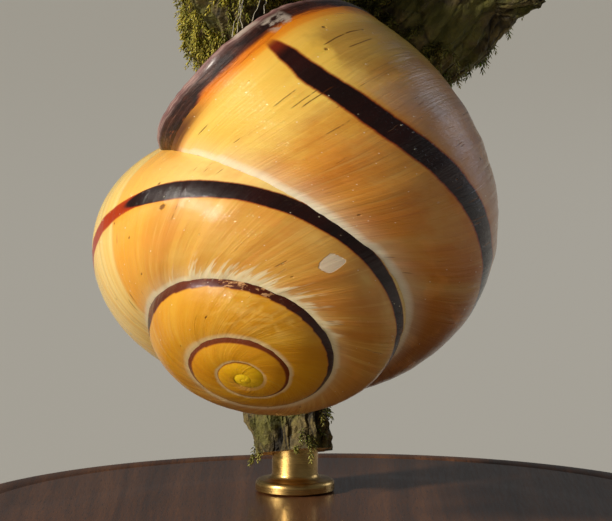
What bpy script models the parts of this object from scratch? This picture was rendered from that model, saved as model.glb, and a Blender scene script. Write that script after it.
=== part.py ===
"""Resting banded grove snail (Cepaea nemoralis), left-handed coil, hanging by its shell mouth from a short
cut length of mossy branch on a plain display stand.  Life size: the shell is 23 mm across.

Blender 4.5, metres, +Z up.  The origin is at the middle of the underside of the base.

The shell is a tube wound on a coil.  Its growth is measured in turns t, from 0 at the first whorl to T_LIP at
the point where the lip meets the whorl before it.  A section of the tube is an ellipse, and the angle ph runs
round it: 0 at the outermost point, +90 degrees towards the apex, -90 degrees towards the base.
"""
import bpy
import bmesh
import numpy as np
from math import pi, sin, cos, radians
from mathutils import Vector, Matrix

for old in list(bpy.data.objects):
    bpy.data.objects.remove(old, do_unlink=True)

MM = 0.001
GAP = 0.30                      # clear gap between neighbouring solids, mm

# ------------------------------------------------------------------ named sizes of the shell, mm and turns
T_LIP = 5.09                    # whorls
COIL_TURNS = (0.0, 0.5, 1.0, 1.6, 2.4, 3.4, 4.4, 5.1)         # turns before the lip ...
COIL_RADIUS = (14.32, 10.51, 8.94, 6.51, 4.35, 2.59, 1.20, 0.78)   # ... and the coil's outer radius there
FALL_TURNS = (0.0, 0.25, 0.5, 1.0, 1.6, 2.4, 3.4, 4.4, 5.1)   # turns before the lip ...
FALL_DEPTH = (12.57, 11.09, 9.94, 7.08, 4.03, 2.12, 0.94, 0.28, 0.0)  # ... and how far the section lies below the first
SECTION_WIDTH = 0.51            # half width of a section, as a share of the coil radius
SECTION_TOP = 0.5635            # half height above the periphery at the lip, as a share of the coil radius
SECTION_TOP_LOSS = 0.423        # early whorls are flatter above by this share over the whole coil
SECTION_BASE = 0.569            # half height below the periphery
SECTION_TILT = -0.196           # radians
LIP_DROP = 6.10                 # extra fall of the upper side at the lip, where the suture dips
LIP_DROP_TURNS = 0.279          # length of that dip
LIP_DROP_BASE = 0.189           # share of it that the base takes
LIP_LAG = (0.1087, 0.0756, -0.0969, -0.028, 0.0183)  # how far the slanted lip lags round the section, turns
LIP_WIDTH = 1.45                # brown lip, measured along the whorl
WALL = 0.95                     # shell wall at the mouth
CORE = 0.70                     # radius of the pillar in the middle of the coil
AXIS_CLEAR = 1.0                # radius of the open middle of the coil, where the pillar stands

# ------------------------------------------------------------------ stance of the shell and place of the stand
TIP, ROLL, SPIN = 0.8687, -0.2778, 1.8182   # shell axis tipped towards the viewer, rolled left, spun about itself
SHIFT = (-3.034, -5.926)        # apex centre, right and up from the view's middle
VIEW_RISE = radians(6.0)        # the viewer looks down by this much
BASE_RADIUS, BASE_HEIGHT = 22.0, 4.0
BASE_MIDDLE = (1.5, 10.0)       # right and back from the view's middle
BASE_TOP_BELOW = 14.5           # base top below the view's middle
ROD_RADIUS = 1.25


def spline(xs, ys):
    """Natural cubic spline through (xs, ys), xs rising."""
    xs, ys = np.asarray(xs, float), np.asarray(ys, float)
    n = len(xs)
    h = np.diff(xs)
    a = np.eye(n)
    b = np.zeros(n)
    for i in range(1, n - 1):
        a[i, i - 1], a[i, i], a[i, i + 1] = h[i - 1], 2 * (h[i - 1] + h[i]), h[i]
        b[i] = 6 * ((ys[i + 1] - ys[i]) / h[i] - (ys[i] - ys[i - 1]) / h[i - 1])
    m = np.linalg.solve(a, b)

    def f(x):
        x = np.asarray(x, float)
        i = np.clip(np.searchsorted(xs, x) - 1, 0, n - 2)
        hi = h[i]
        p, q = (xs[i + 1] - x), (x - xs[i])
        return (m[i] * p ** 3 + m[i + 1] * q ** 3) / (6 * hi) + (ys[i] / hi - m[i] * hi / 6) * p + (ys[i + 1] / hi - m[i + 1] * hi / 6) * q
    return f


_lr = spline([T_LIP - u for u in COIL_TURNS[::-1]], np.log(COIL_RADIUS[::-1]))
_zz = spline([T_LIP - u for u in FALL_TURNS[::-1]], -np.asarray(FALL_DEPTH[::-1]))


def smooth(x):
    x = np.clip(x, 0, 1)
    return x * x * (3 - 2 * x)


def coil_radius(t):
    return np.exp(_lr(t))


def lip_lag(ph):
    a = LIP_LAG
    return a[0] + a[1] * np.cos(ph) + a[2] * np.sin(ph) + a[3] * np.cos(2 * ph) + a[4] * np.sin(2 * ph)


def section(t, ph, grow=0.0, clear=AXIS_CLEAR):
    """Distance from the axis and height, for a section grown outwards by `grow`."""
    t, ph = np.asarray(t, float), (np.asarray(ph, float) + pi) % (2 * pi) - pi
    r = coil_radius(t)
    a = SECTION_WIDTH * r
    top = (SECTION_TOP - SECTION_TOP_LOSS * (T_LIP - t) / T_LIP) * r
    b = np.where(np.sin(ph) >= 0, top, SECTION_BASE * r)
    x = (a + grow) * np.cos(ph)
    y = (b + grow) * np.sin(ph)
    ct, st = cos(SECTION_TILT), sin(SECTION_TILT)
    u = np.clip((t - (T_LIP - LIP_DROP_TURNS)) / LIP_DROP_TURNS, 0, 1.2)
    w = LIP_DROP_BASE + (1 - LIP_DROP_BASE) * smooth((ph + 0.9) / 2.2) * smooth((pi - ph) / 1.0)
    rho = r - a + x * ct - y * st
    z = _zz(t) + x * st + y * ct - LIP_DROP * u * u * w
    return np.maximum(rho, clear), z


def stance():
    cx, sx, cy, sy, cz, sz = cos(TIP), sin(TIP), cos(ROLL), sin(ROLL), cos(SPIN), sin(SPIN)
    rx = np.array([[1, 0, 0], [0, cx, -sx], [0, sx, cx]])
    ry = np.array([[cy, 0, sy], [0, 1, 0], [-sy, 0, cy]])
    rz = np.array([[cz, -sz, 0], [sz, cz, 0], [0, 0, 1]])
    return ry @ rx @ rz


STANCE = stance()


def to_world(p):
    """View frame (right, up, towards the viewer; mm) to world metres."""
    p = np.asarray(p, float)
    x, y, z = p[..., 0], p[..., 1], p[..., 2]
    wx = x - BASE_MIDDLE[0]
    wy = -z * cos(VIEW_RISE) + y * sin(VIEW_RISE) - BASE_MIDDLE[1]
    wz = y * cos(VIEW_RISE) + z * sin(VIEW_RISE) + BASE_TOP_BELOW + BASE_HEIGHT
    return np.stack([wx, wy, wz], -1) * MM


def shell_point(t, ph, grow=0.0, clear=AXIS_CLEAR):
    rho, z = section(t, ph, grow, clear)
    az = 2 * pi * np.asarray(t, float)          # counter-clockwise seen from the apex: a left-handed coil
    p = np.stack([rho * np.cos(az), rho * np.sin(az), z], -1) @ STANCE.T
    p[..., 0] += SHIFT[0]
    p[..., 1] += SHIFT[1]
    return to_world(p)


# ------------------------------------------------------------------ mesh helpers
def make_object(name, verts, faces, colour, rough, metal=0.0):
    mesh = bpy.data.meshes.new(name)
    mesh.from_pydata([tuple(map(float, v)) for v in verts], [], faces)
    bm = bmesh.new()
    bm.from_mesh(mesh)
    bmesh.ops.triangulate(bm, faces=bm.faces)
    bmesh.ops.recalc_face_normals(bm, faces=bm.faces)
    if bm.calc_volume(signed=True) < 0:
        bmesh.ops.reverse_faces(bm, faces=bm.faces)
    bm.to_mesh(mesh)
    bm.free()
    ob = bpy.data.objects.new(name, mesh)
    bpy.context.scene.collection.objects.link(ob)
    paint(ob, name, colour, rough, metal)
    return ob


def paint(ob, name, colour, rough, metal=0.0):
    mat = bpy.data.materials.new(name + "_material")
    mat.use_nodes = True
    bsdf = mat.node_tree.nodes["Principled BSDF"]
    bsdf.inputs["Base Color"].default_value = (*colour, 1.0)
    bsdf.inputs["Roughness"].default_value = rough
    bsdf.inputs["Metallic"].default_value = metal
    ob.data.materials.clear()
    ob.data.materials.append(mat)


def rings_to_solid(name, rings, colour, rough, metal=0.0, caps=True):
    """Closed solid from a list of rings with the same number of points, with a fan over each end."""
    n = len(rings[0])
    verts = [v for ring in rings for v in ring]
    faces = []
    for i in range(len(rings) - 1):
        for j in range(n):
            k = (j + 1) % n
            faces.append((i * n + j, i * n + k, (i + 1) * n + k, (i + 1) * n + j))
    for i, flip in ((0, True), (len(rings) - 1, False)):
        middle = len(verts)
        verts.append(np.mean(rings[i], axis=0))
        for j in range(n):
            k = (j + 1) % n
            faces.append((i * n + k, i * n + j, middle) if flip else (i * n + j, i * n + k, middle))
    return make_object(name, verts, faces, colour, rough, metal)


def whorl(name, t0, t1, grow=0.0, steps=40, sides=22, clear=AXIS_CLEAR, back=None, before=0.0, after=0.0,
          colour=(0.8, 0.55, 0.2), rough=0.25):
    """A length of the shell's tube.  With `back`, it ends `back` mm behind the slanted lip instead of at t1.
    `before` and `after` lengthen it by one ring at each end, in turns."""
    rings = []
    ph = np.linspace(0, 2 * pi, sides, endpoint=False)
    end = t1 if back is None else T_LIP - lip_lag(ph) - back / (2 * pi * 12.0)
    for i in range(steps + 1):
        t = t0 + (end - t0) * (i / steps) + 0 * ph
        rings.append(list(shell_point(t, ph, grow, clear)))
    if before:
        rings.insert(0, list(shell_point(t0 - before + 0 * ph, ph, grow, clear)))
    if after:
        rings.append(list(shell_point(t1 + after + 0 * ph, ph, grow, clear)))
    return rings_to_solid(name, rings, colour, rough)


def band(name, start, stop, steps, sides, ring_at, colour, rough):
    """A bar that follows the mouth from section angle `start` to `stop`; ring_at(ph, q, share) gives (along, out)."""
    rings = []
    for i in range(steps + 1):
        share = i / steps
        ph = start + (stop - start) * share
        ring = []
        for j in range(sides):
            along, out = ring_at(share, 2 * pi * (j + 0.5) / sides)
            t = T_LIP - lip_lag(ph) - along / (2 * pi * 12.0)
            ring.append(shell_point(t, ph, out))
        rings.append(ring)
    return rings_to_solid(name, rings, colour, rough)


def boolean(ob, cutter, operation="DIFFERENCE", keep=False):
    mod = ob.modifiers.new("cut", "BOOLEAN")
    mod.operation, mod.solver, mod.object = operation, "EXACT", cutter
    mod.use_self = True
    graph = bpy.context.evaluated_depsgraph_get()
    graph.update()
    mesh = bpy.data.meshes.new_from_object(ob.evaluated_get(graph))
    ob.modifiers.remove(mod)
    ob.data = mesh
    if not keep:
        bpy.data.objects.remove(cutter, do_unlink=True)
    return ob


def tidy(ob):
    """Keep only the main closed body (crumbs left by a cut are dropped)."""
    bm = bmesh.new()
    bm.from_mesh(ob.data)
    seen, bodies = set(), []
    for f in bm.faces:
        if f.index in seen:
            continue
        stack, body = [f], []
        seen.add(f.index)
        while stack:
            g = stack.pop()
            body.append(g)
            for e in g.edges:
                for h in e.link_faces:
                    if h.index not in seen:
                        seen.add(h.index)
                        stack.append(h)
        bodies.append(body)

    def volume(body):
        v = 0.0
        for f in body:
            c = [l.vert.co for l in f.loops]
            for k in range(1, len(c) - 1):
                v += c[0].dot(c[k].cross(c[k + 1])) / 6
        return v
    if len(bodies) > 1:
        sizes = [abs(volume(b)) for b in bodies]
        top = max(sizes)
        drop = [f for b, v in zip(bodies, sizes) if v < top * 0.999 for f in b]
        bmesh.ops.delete(bm, geom=drop, context="FACES")
        loose = [v for v in bm.verts if not v.link_faces]
        bmesh.ops.delete(bm, geom=loose, context="VERTS")
    bmesh.ops.triangulate(bm, faces=[f for f in bm.faces if len(f.verts) > 4])
    bm.to_mesh(ob.data)
    bm.free()


def hull_object(name, points, spread):
    """Convex hull of points, each spread by `spread` mm all round."""
    dirs = [Vector(d).normalized() for d in
            [(1, 0, 0), (-1, 0, 0), (0, 1, 0), (0, -1, 0), (0, 0, 1), (0, 0, -1)] +
            [(a, b, c) for a in (-1, 1) for b in (-1, 1) for c in (-1, 1)]]
    bm = bmesh.new()
    for p in points:
        if spread > 0:
            for d in dirs:
                bm.verts.new(Vector(p) + d * spread * MM)
        else:
            bm.verts.new(Vector(p))
    out = bmesh.ops.convex_hull(bm, input=bm.verts)
    inside = [v for v in bm.verts if not v.link_faces]
    bmesh.ops.delete(bm, geom=inside, context="VERTS")
    bmesh.ops.recalc_face_normals(bm, faces=bm.faces)
    mesh = bpy.data.meshes.new(name)
    bm.to_mesh(mesh)
    bm.free()
    ob = bpy.data.objects.new(name, mesh)
    bpy.context.scene.collection.objects.link(ob)
    return ob


def shade(ob, angle=40):
    ob.data.shade_smooth()
    ob.data.set_sharp_from_angle(angle=radians(angle))


def round_bar(name, points, radii, sides=12, colour=(0.5, 0.5, 0.5), rough=0.5, metal=0.0, wobble=None):
    """Round bar through world points (metres), radii in mm; `wobble(i, angle)` scales the radius."""
    pts = [Vector(p) for p in points]
    n = len(pts)
    rings = []
    side = None
    for i, p in enumerate(pts):
        d = (pts[min(i + 1, n - 1)] - pts[max(i - 1, 0)]).normalized()
        if side is None:
            side = d.orthogonal().normalized()
        side = (side - d * side.dot(d)).normalized()
        other = d.cross(side)
        ring = []
        for j in range(sides):
            q = 2 * pi * j / sides
            k = 1.0 if wobble is None else wobble(i / (n - 1), q)
            ring.append(np.array(p + (side * cos(q) + other * sin(q)) * radii[i] * k * MM))
        rings.append(ring)
    return rings_to_solid(name, rings, colour, rough, metal)


def axis_point(z):
    p = np.array([0.0, 0.0, z]) @ STANCE.T
    return to_world(p + np.array([SHIFT[0], SHIFT[1], 0.0]))


YELLOW, CREAM, BROWN = (0.83, 0.56, 0.13), (0.80, 0.62, 0.32), (0.10, 0.045, 0.035)
FLESH, BARK, WOOD = (0.36, 0.31, 0.24), (0.13, 0.11, 0.05), (0.10, 0.06, 0.035)

# ------------------------------------------------------------------ the whorls, each cut to fit round the one before
T1, T2, T3, T4 = T_LIP - 3.96, T_LIP - 2.96, T_LIP - 1.96, T_LIP - 0.96

UPPER = dict(t0=T1, t1=T2, steps=20, sides=12)
LOWER = dict(t0=T2, t1=T3, steps=24, sides=14)
PENULT = dict(t0=T3, t1=T4, steps=32, sides=16)

apex_points = [shell_point(t, ph, 0.0, 0.0) for t in np.linspace(0.0, T1, 16) for ph in np.linspace(-pi, pi, 12)]
apex = hull_object("shell_apex", apex_points, 0.0)
paint(apex, "shell_apex", (0.86, 0.62, 0.12), 0.25)

upper = whorl("shell_spire_upper", colour=YELLOW, clear=0.35, **UPPER)
boolean(upper, hull_object("cut_apex", apex_points, 0.16))

lower = whorl("shell_spire_lower", colour=YELLOW, **LOWER)
boolean(lower, whorl("cut_upper", grow=0.25, clear=0.2, before=0.04, after=0.012, **UPPER))

penultimate = whorl("shell_penultimate_whorl", colour=CREAM, **PENULT)
boolean(penultimate, whorl("cut_lower", grow=GAP, clear=0.6, before=0.04, after=0.010, **LOWER))

body = whorl("shell_body_whorl", T4, None, steps=38, sides=22, back=LIP_WIDTH + GAP, colour=CREAM)
boolean(body, whorl("cut_penultimate", grow=GAP, clear=0.6, before=0.04, after=0.008, **PENULT))
# the mouth is open: the last part of the tube is hollow to the wall's thickness
boolean(body, whorl("cut_mouth", T_LIP - 0.42, None, grow=-WALL, steps=14, sides=18, clear=1.7, back=-2.0))
# and it ends a gap behind the lip
LIP_FROM, LIP_TO, LIP_STEPS = 1.58, -2.3, 38


def lip_room(share, q):
    return (LIP_WIDTH + GAP if cos(q) < 0 else -2.5), (1.2 if sin(q) > 0 else -WALL - 0.8)


boolean(body, band("cut_lip", LIP_FROM + 0.12, LIP_TO - 0.12, LIP_STEPS, 4, lip_room, BROWN, 0.5))

# the pillar that the whorls wind round, closed at the base
columella = round_bar("shell_columella", [axis_point(-4.6), axis_point(-9.0), axis_point(-14.0)], [CORE * 0.8, CORE, CORE], sides=12,
                      colour=CREAM, rough=0.4)


# ------------------------------------------------------------------ the thickened brown lip: a rounded band round the mouth
def lip_ring(share, q):
    ends = min(1.0, 0.45 + 3.2 * min(share, 1 - share))
    return (LIP_WIDTH / 2 * (1 - cos(q) * (0.55 + 0.45 * ends)),
            (0.10 + WALL / 2 * sin(q)) * ends - WALL / 2 * 0.9)


lip = band("shell_lip", LIP_FROM, LIP_TO, LIP_STEPS, 8, lip_ring, BROWN, 0.4)
boolean(lip, whorl("cut_penultimate", grow=GAP, clear=0.6, before=0.04, after=0.008, **PENULT))

# ------------------------------------------------------------------ plane of the mouth and its middle
lip_line = np.array([shell_point(T_LIP - lip_lag(ph), ph, 0.0) for ph in np.linspace(LIP_FROM, LIP_TO, 60)])
mouth_middle = lip_line.mean(axis=0)
mouth_out = np.linalg.svd(lip_line - mouth_middle)[2][2]
if mouth_out[2] < 0:
    mouth_out = -mouth_out
mouth_long = lip_line[0] - lip_line[len(lip_line) // 2]
mouth_long = mouth_long - mouth_out * mouth_long.dot(mouth_out)
mouth_long /= np.linalg.norm(mouth_long)
mouth_wide = np.cross(mouth_out, mouth_long)


def at_mouth(long=0.0, wide=0.0, out=0.0):
    """World point from mm along, across and out of the mouth's plane."""
    return mouth_middle + (mouth_long * long + mouth_wide * wide + mouth_out * out) * MM


# ------------------------------------------------------------------ the drawn-in animal: mantle collar filling the mouth, folded foot on the bark
collar = whorl("body_mantle_collar", T_LIP - 0.36, None, grow=-WALL - GAP, steps=12, sides=18, clear=2.3, back=1.9, colour=FLESH, rough=0.35)
boolean(collar, whorl("cut_penultimate", grow=2 * GAP, clear=0.6, before=0.04, after=0.008, **PENULT))


def pad(name, middle, along, across, out, sizes, rings=9, sides=18, power=1.0, colour=FLESH, rough=0.4):
    """Rounded pad: an ellipsoid of half sizes (mm) along, across and out, with blunt faces."""
    loops = []
    for i in range(rings + 1):
        q = -pi / 2 + pi * (i + 0.35) / (rings + 0.7)
        c, s = cos(q) ** power, sin(q)
        loop = []
        for j in range(sides):
            a = 2 * pi * j / sides
            loop.append(middle + (along * sizes[0] * c * cos(a) + across * sizes[1] * c * sin(a) + out * sizes[2] * s) * MM)
        loops.append(loop)
    return rings_to_solid(name, loops, colour, rough)


# the foot lies along the line from the suture to the pillar, on the open side of the lip
foot_long = mouth_long * 0.645 + mouth_wide * 0.763
foot_wide = mouth_long * 0.763 - mouth_wide * 0.645
FOOT = (3.9, 2.9, 1.2)
foot = pad("body_foot", at_mouth(0.9, -0.5, -1.0), foot_long, foot_wide, mouth_out, FOOT, power=0.6)
boolean(collar, pad("cut_foot", at_mouth(0.9, -0.5, -1.0), foot_long, foot_wide, mouth_out, [f + GAP for f in FOOT], power=0.6))

# ------------------------------------------------------------------ the perch: a short length of branch with a side limb, cut at three ends
shell_points = [shell_point(t, ph) for t in np.linspace(T_LIP - 1.4, T_LIP - 0.15, 26) for ph in np.linspace(-2.4, 2.0, 14)]
shell_points += list(lip_line) + list(np.array([shell_point(T_LIP - lip_lag(ph), ph, 0.15) for ph in np.linspace(LIP_FROM, LIP_TO, 40)]))
for along in (1.0, 4.0, 8.0):
    shell_points += [shell_point(T_LIP - lip_lag(ph) - along / (2 * pi * 12.0), ph, 0.12) for ph in np.linspace(LIP_FROM, -2.2, 30)]


def route(points, count):
    """Smooth line of `count` points through the view-frame points given."""
    p = np.array(points, float)
    s = np.linspace(0, 1, len(p))
    fs = [spline(s, p[:, k]) for k in range(3)]
    return [to_world(np.array([f(u) for f in fs])) for u in np.linspace(0, 1, count)]


def knots(seed):
    def f(s, q):
        return 1 + 0.07 * sin(2 * q + 5 * s + seed) + 0.05 * sin(3 * q - 9 * s + 2 * seed) + 0.05 * sin(11 * s + seed)
    return f


STEM = [(-0.6, -10.4, -19.2), (-0.9, -4.0, -19.7), (-0.9, 3.0, -18.9), (-1.5, 9.3, -14.9), (-2.0, 13.1, -8.0), (-2.5, 15.0, -2.7), (-2.9, 18.0, 0.5)]
STEM_STEPS = 24
stem_radius = spline([0, 0.18, 0.38, 0.6, 0.8, 1.0], [2.1, 2.3, 2.8, 3.55, 3.4, 3.1])
stem_line = route(STEM, STEM_STEPS)
stem_radii = [float(stem_radius(u)) for u in np.linspace(0, 1, STEM_STEPS)]
perch = round_bar("perch_branch", stem_line, stem_radii, sides=13, colour=BARK, rough=0.9, wobble=knots(0.4))
boolean(perch, hull_object("cut_shell", shell_points, 0.35))

LIMB = [(-1.2, 9.0, -15.6), (3.6, 10.9, -15.6), (7.2, 13.9, -14.6), (9.2, 17.0, -13.6)]
LIMB_STEPS = 14
limb_radius = spline([0, 0.35, 0.7, 1.0], [3.4, 3.5, 3.5, 3.2])
limb = round_bar("perch_side_limb", route(LIMB, LIMB_STEPS), [float(limb_radius(u)) for u in np.linspace(0, 1, LIMB_STEPS)], sides=12,
                 colour=BARK, rough=0.9, wobble=knots(1.7))
# a broken-off twig on the side limb
SPUR = [(8.4, 14.6, -13.4), (10.6, 14.2, -12.8), (12.2, 14.2, -12.4)]
boolean(limb, round_bar("join_spur", route(SPUR, 5), [1.9, 1.6, 1.3, 1.1, 0.9], sides=9), "UNION")
boolean(limb, round_bar("cut_stem", stem_line, [r + GAP * 1.3 for r in stem_radii], sides=13, wobble=knots(0.4)))
boolean(limb, hull_object("cut_shell", shell_points, 0.35))

# ------------------------------------------------------------------ the plain display stand
def turned(name, profile, middle, sides, colour, rough, metal=0.0):
    """Turned solid: (radius, height) pairs in mm about a vertical line through `middle` (mm)."""
    loops = []
    for r, z in profile:
        loops.append([np.array([middle[0] + r * cos(2 * pi * j / sides), middle[1] + r * sin(2 * pi * j / sides), z]) * MM for j in range(sides)])
    return rings_to_solid(name, loops, colour, rough, metal)


base = turned("stand_base", [(BASE_RADIUS - 0.4, 0.0), (BASE_RADIUS, 0.4), (BASE_RADIUS, BASE_HEIGHT - 0.9), (BASE_RADIUS - 0.9, BASE_HEIGHT)],
              (0.0, 0.0), 40, WOOD, 0.35)
stem_foot = stem_line[0] / MM
rod_spot = (stem_foot[0], stem_foot[1])
hole = turned("cut_hole", [(ROD_RADIUS + GAP, 1.2), (ROD_RADIUS + GAP, BASE_HEIGHT + 1.0)], rod_spot, 20, WOOD, 0.5)
boolean(base, hole)
rod = turned("stand_rod", [(ROD_RADIUS, 1.2 + GAP), (ROD_RADIUS, stem_foot[2] + 2.2)], rod_spot, 20, (0.75, 0.72, 0.62), 0.25, 1.0)
boolean(perch, turned("cut_rod", [(ROD_RADIUS + GAP, 0.0), (ROD_RADIUS + GAP, stem_foot[2] + 2.2 + GAP)], rod_spot, 20, WOOD, 0.5))

for ob in (upper, lower, penultimate, body, lip, collar, foot, perch, limb, base):
    tidy(ob)
for ob in (apex, upper, lower, penultimate, body, columella, lip, collar, foot, perch, limb, base, rod):
    shade(ob)
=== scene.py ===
"""Looks of the resting banded grove snail on its branch and display stand.

All lengths in the shell and branch functions are millimetres in the view frame of the model (right, up, towards the
viewer) and are turned into metres of the model's own frame by to_world.
"""

from math import pi, sin, cos, radians

import bmesh
import bpy
import numpy as np
from mathutils import Matrix, Vector
from mathutils.bvhtree import BVHTree


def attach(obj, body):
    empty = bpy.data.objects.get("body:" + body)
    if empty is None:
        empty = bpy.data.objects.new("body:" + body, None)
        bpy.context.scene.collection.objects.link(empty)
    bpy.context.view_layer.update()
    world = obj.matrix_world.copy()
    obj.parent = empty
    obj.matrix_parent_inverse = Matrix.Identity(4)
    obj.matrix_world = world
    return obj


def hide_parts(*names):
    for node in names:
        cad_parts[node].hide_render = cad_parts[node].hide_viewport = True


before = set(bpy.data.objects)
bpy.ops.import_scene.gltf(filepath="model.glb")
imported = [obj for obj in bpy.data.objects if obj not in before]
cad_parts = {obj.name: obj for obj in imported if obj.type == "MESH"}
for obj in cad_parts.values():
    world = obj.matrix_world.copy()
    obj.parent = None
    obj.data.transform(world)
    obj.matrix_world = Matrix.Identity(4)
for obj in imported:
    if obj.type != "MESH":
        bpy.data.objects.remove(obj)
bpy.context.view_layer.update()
MM = 0.001
rng = np.random.default_rng(7)

# ================================================================== the shell's form, as in the solid model
T_LIP = 5.09
COIL_TURNS = (0.0, 0.5, 1.0, 1.6, 2.4, 3.4, 4.4, 5.1)
COIL_RADIUS = (14.32, 10.51, 8.94, 6.51, 4.35, 2.59, 1.20, 0.78)
FALL_TURNS = (0.0, 0.25, 0.5, 1.0, 1.6, 2.4, 3.4, 4.4, 5.1)
FALL_DEPTH = (12.57, 11.09, 9.94, 7.08, 4.03, 2.12, 0.94, 0.28, 0.0)
SECTION_WIDTH, SECTION_TOP, SECTION_TOP_LOSS, SECTION_BASE, SECTION_TILT = 0.51, 0.5635, 0.423, 0.569, -0.196
LIP_DROP, LIP_DROP_TURNS, LIP_DROP_BASE = 6.10, 0.279, 0.189
LIP_LAG = (0.1087, 0.0756, -0.0969, -0.028, 0.0183)
TIP, ROLL, SPIN = 0.8687, -0.2778, 1.8182
SHIFT = (-3.034, -5.926)
VIEW_RISE = radians(6.0)
BASE_RADIUS, BASE_HEIGHT, BASE_MIDDLE, BASE_TOP_BELOW, ROD_RADIUS = 22.0, 4.0, (1.5, 10.0), 14.5, 1.25
LIP_FROM, LIP_TO = 1.58, -2.3


def spline(xs, ys):
    xs, ys = np.asarray(xs, float), np.asarray(ys, float)
    n = len(xs)
    h = np.diff(xs)
    a, b = np.eye(n), np.zeros(n)
    for i in range(1, n - 1):
        a[i, i - 1], a[i, i], a[i, i + 1] = h[i - 1], 2 * (h[i - 1] + h[i]), h[i]
        b[i] = 6 * ((ys[i + 1] - ys[i]) / h[i] - (ys[i] - ys[i - 1]) / h[i - 1])
    m = np.linalg.solve(a, b)

    def f(x):
        x = np.asarray(x, float)
        i = np.clip(np.searchsorted(xs, x) - 1, 0, n - 2)
        hi = h[i]
        p, q = (xs[i + 1] - x), (x - xs[i])
        return (m[i] * p ** 3 + m[i + 1] * q ** 3) / (6 * hi) + (ys[i] / hi - m[i] * hi / 6) * p + (ys[i + 1] / hi - m[i + 1] * hi / 6) * q
    return f


_lr = spline([T_LIP - u for u in COIL_TURNS[::-1]], np.log(COIL_RADIUS[::-1]))
_zz = spline([T_LIP - u for u in FALL_TURNS[::-1]], -np.asarray(FALL_DEPTH[::-1]))


def smooth(x):
    x = np.clip(x, 0, 1)
    return x * x * (3 - 2 * x)


def coil_radius(t):
    return np.exp(_lr(t))


def lip_lag(ph):
    a = LIP_LAG
    return a[0] + a[1] * np.cos(ph) + a[2] * np.sin(ph) + a[3] * np.cos(2 * ph) + a[4] * np.sin(2 * ph)


def wrap(ph):
    return (np.asarray(ph, float) + pi) % (2 * pi) - pi


def lip_drop(t, ph):
    u = np.clip((t - (T_LIP - LIP_DROP_TURNS)) / LIP_DROP_TURNS, 0, 1.2)
    w = LIP_DROP_BASE + (1 - LIP_DROP_BASE) * smooth((ph + 0.9) / 2.2) * smooth((pi - ph) / 1.0)
    return LIP_DROP * u * u * w


def section(t, ph, grow=0.0, clear=0.3):
    t, ph = np.asarray(t, float), wrap(ph)
    r = coil_radius(t)
    a = SECTION_WIDTH * r
    top = (SECTION_TOP - SECTION_TOP_LOSS * (T_LIP - t) / T_LIP) * r
    b = np.where(np.sin(ph) >= 0, top, SECTION_BASE * r)
    x, y = (a + grow) * np.cos(ph), (b + grow) * np.sin(ph)
    ct, st = cos(SECTION_TILT), sin(SECTION_TILT)
    rho = r - a + x * ct - y * st
    z = _zz(t) + x * st + y * ct - lip_drop(t, ph)
    return np.maximum(rho, clear), z


def depth_inside(t, rho, z, grow=0.0):
    """How deep the point (rho, z) lies inside the section at t, mm (negative outside)."""
    r = coil_radius(t)
    a = SECTION_WIDTH * r + grow
    top = (SECTION_TOP - SECTION_TOP_LOSS * (T_LIP - t) / T_LIP) * r + grow
    base = SECTION_BASE * r + grow
    ct, st = cos(SECTION_TILT), sin(SECTION_TILT)
    dx = rho - (r - (a - grow))
    drop = 0.0
    for _ in range(4):
        dz = z - _zz(t) + drop
        x, y = dx * ct + dz * st, -dx * st + dz * ct
        b = np.where(y >= 0, top, base)
        ph = np.arctan2(y / b, x / a)
        drop = lip_drop(t, ph)
    k = np.sqrt((x / a) ** 2 + (y / b) ** 2) + 1e-9
    return (1 / k - 1) * np.sqrt(x * x + y * y)


def stance():
    cx, sx, cy, sy, cz, sz = cos(TIP), sin(TIP), cos(ROLL), sin(ROLL), cos(SPIN), sin(SPIN)
    return (np.array([[cy, 0, sy], [0, 1, 0], [-sy, 0, cy]]) @ np.array([[1, 0, 0], [0, cx, -sx], [0, sx, cx]])
            @ np.array([[cz, -sz, 0], [sz, cz, 0], [0, 0, 1]]))


STANCE = stance()


def to_world(p):
    p = np.asarray(p, float)
    x, y, z = p[..., 0], p[..., 1], p[..., 2]
    wx = x - BASE_MIDDLE[0]
    wy = -z * cos(VIEW_RISE) + y * sin(VIEW_RISE) - BASE_MIDDLE[1]
    wz = y * cos(VIEW_RISE) + z * sin(VIEW_RISE) + BASE_TOP_BELOW + BASE_HEIGHT
    return np.stack([wx, wy, wz], -1) * MM


def coil_to_world(t, rho, z):
    az = 2 * pi * np.asarray(t, float)
    p = np.stack([rho * np.cos(az), rho * np.sin(az), z], -1) @ STANCE.T
    p[..., 0] += SHIFT[0]
    p[..., 1] += SHIFT[1]
    return to_world(p)


def shell_point(t, ph, grow=0.0, clear=0.3):
    rho, z = section(t, ph, grow, clear)
    return coil_to_world(t, rho, z)


def axis_point(z):
    return coil_to_world(0.0, np.float64(0.0), np.float64(z))


AXIS_DIR = (axis_point(1.0) - axis_point(0.0)) / MM

# ================================================================== noise on points
def _hash(i, j, k, seed):
    h = (i.astype(np.int64) * 374761393 + j.astype(np.int64) * 668265263 + k.astype(np.int64) * 2147483647 + seed * 974634777) & 0xFFFFFFFF
    h = ((h ^ (h >> 13)) * 1274126177) & 0xFFFFFFFF
    h = ((h ^ (h >> 16)) * 2246822519) & 0xFFFFFFFF
    return ((h ^ (h >> 15)) & 0xFFFFFF) / float(0xFFFFFF)


def st(*parts):
    return np.stack(np.broadcast_arrays(*parts), -1)


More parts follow.
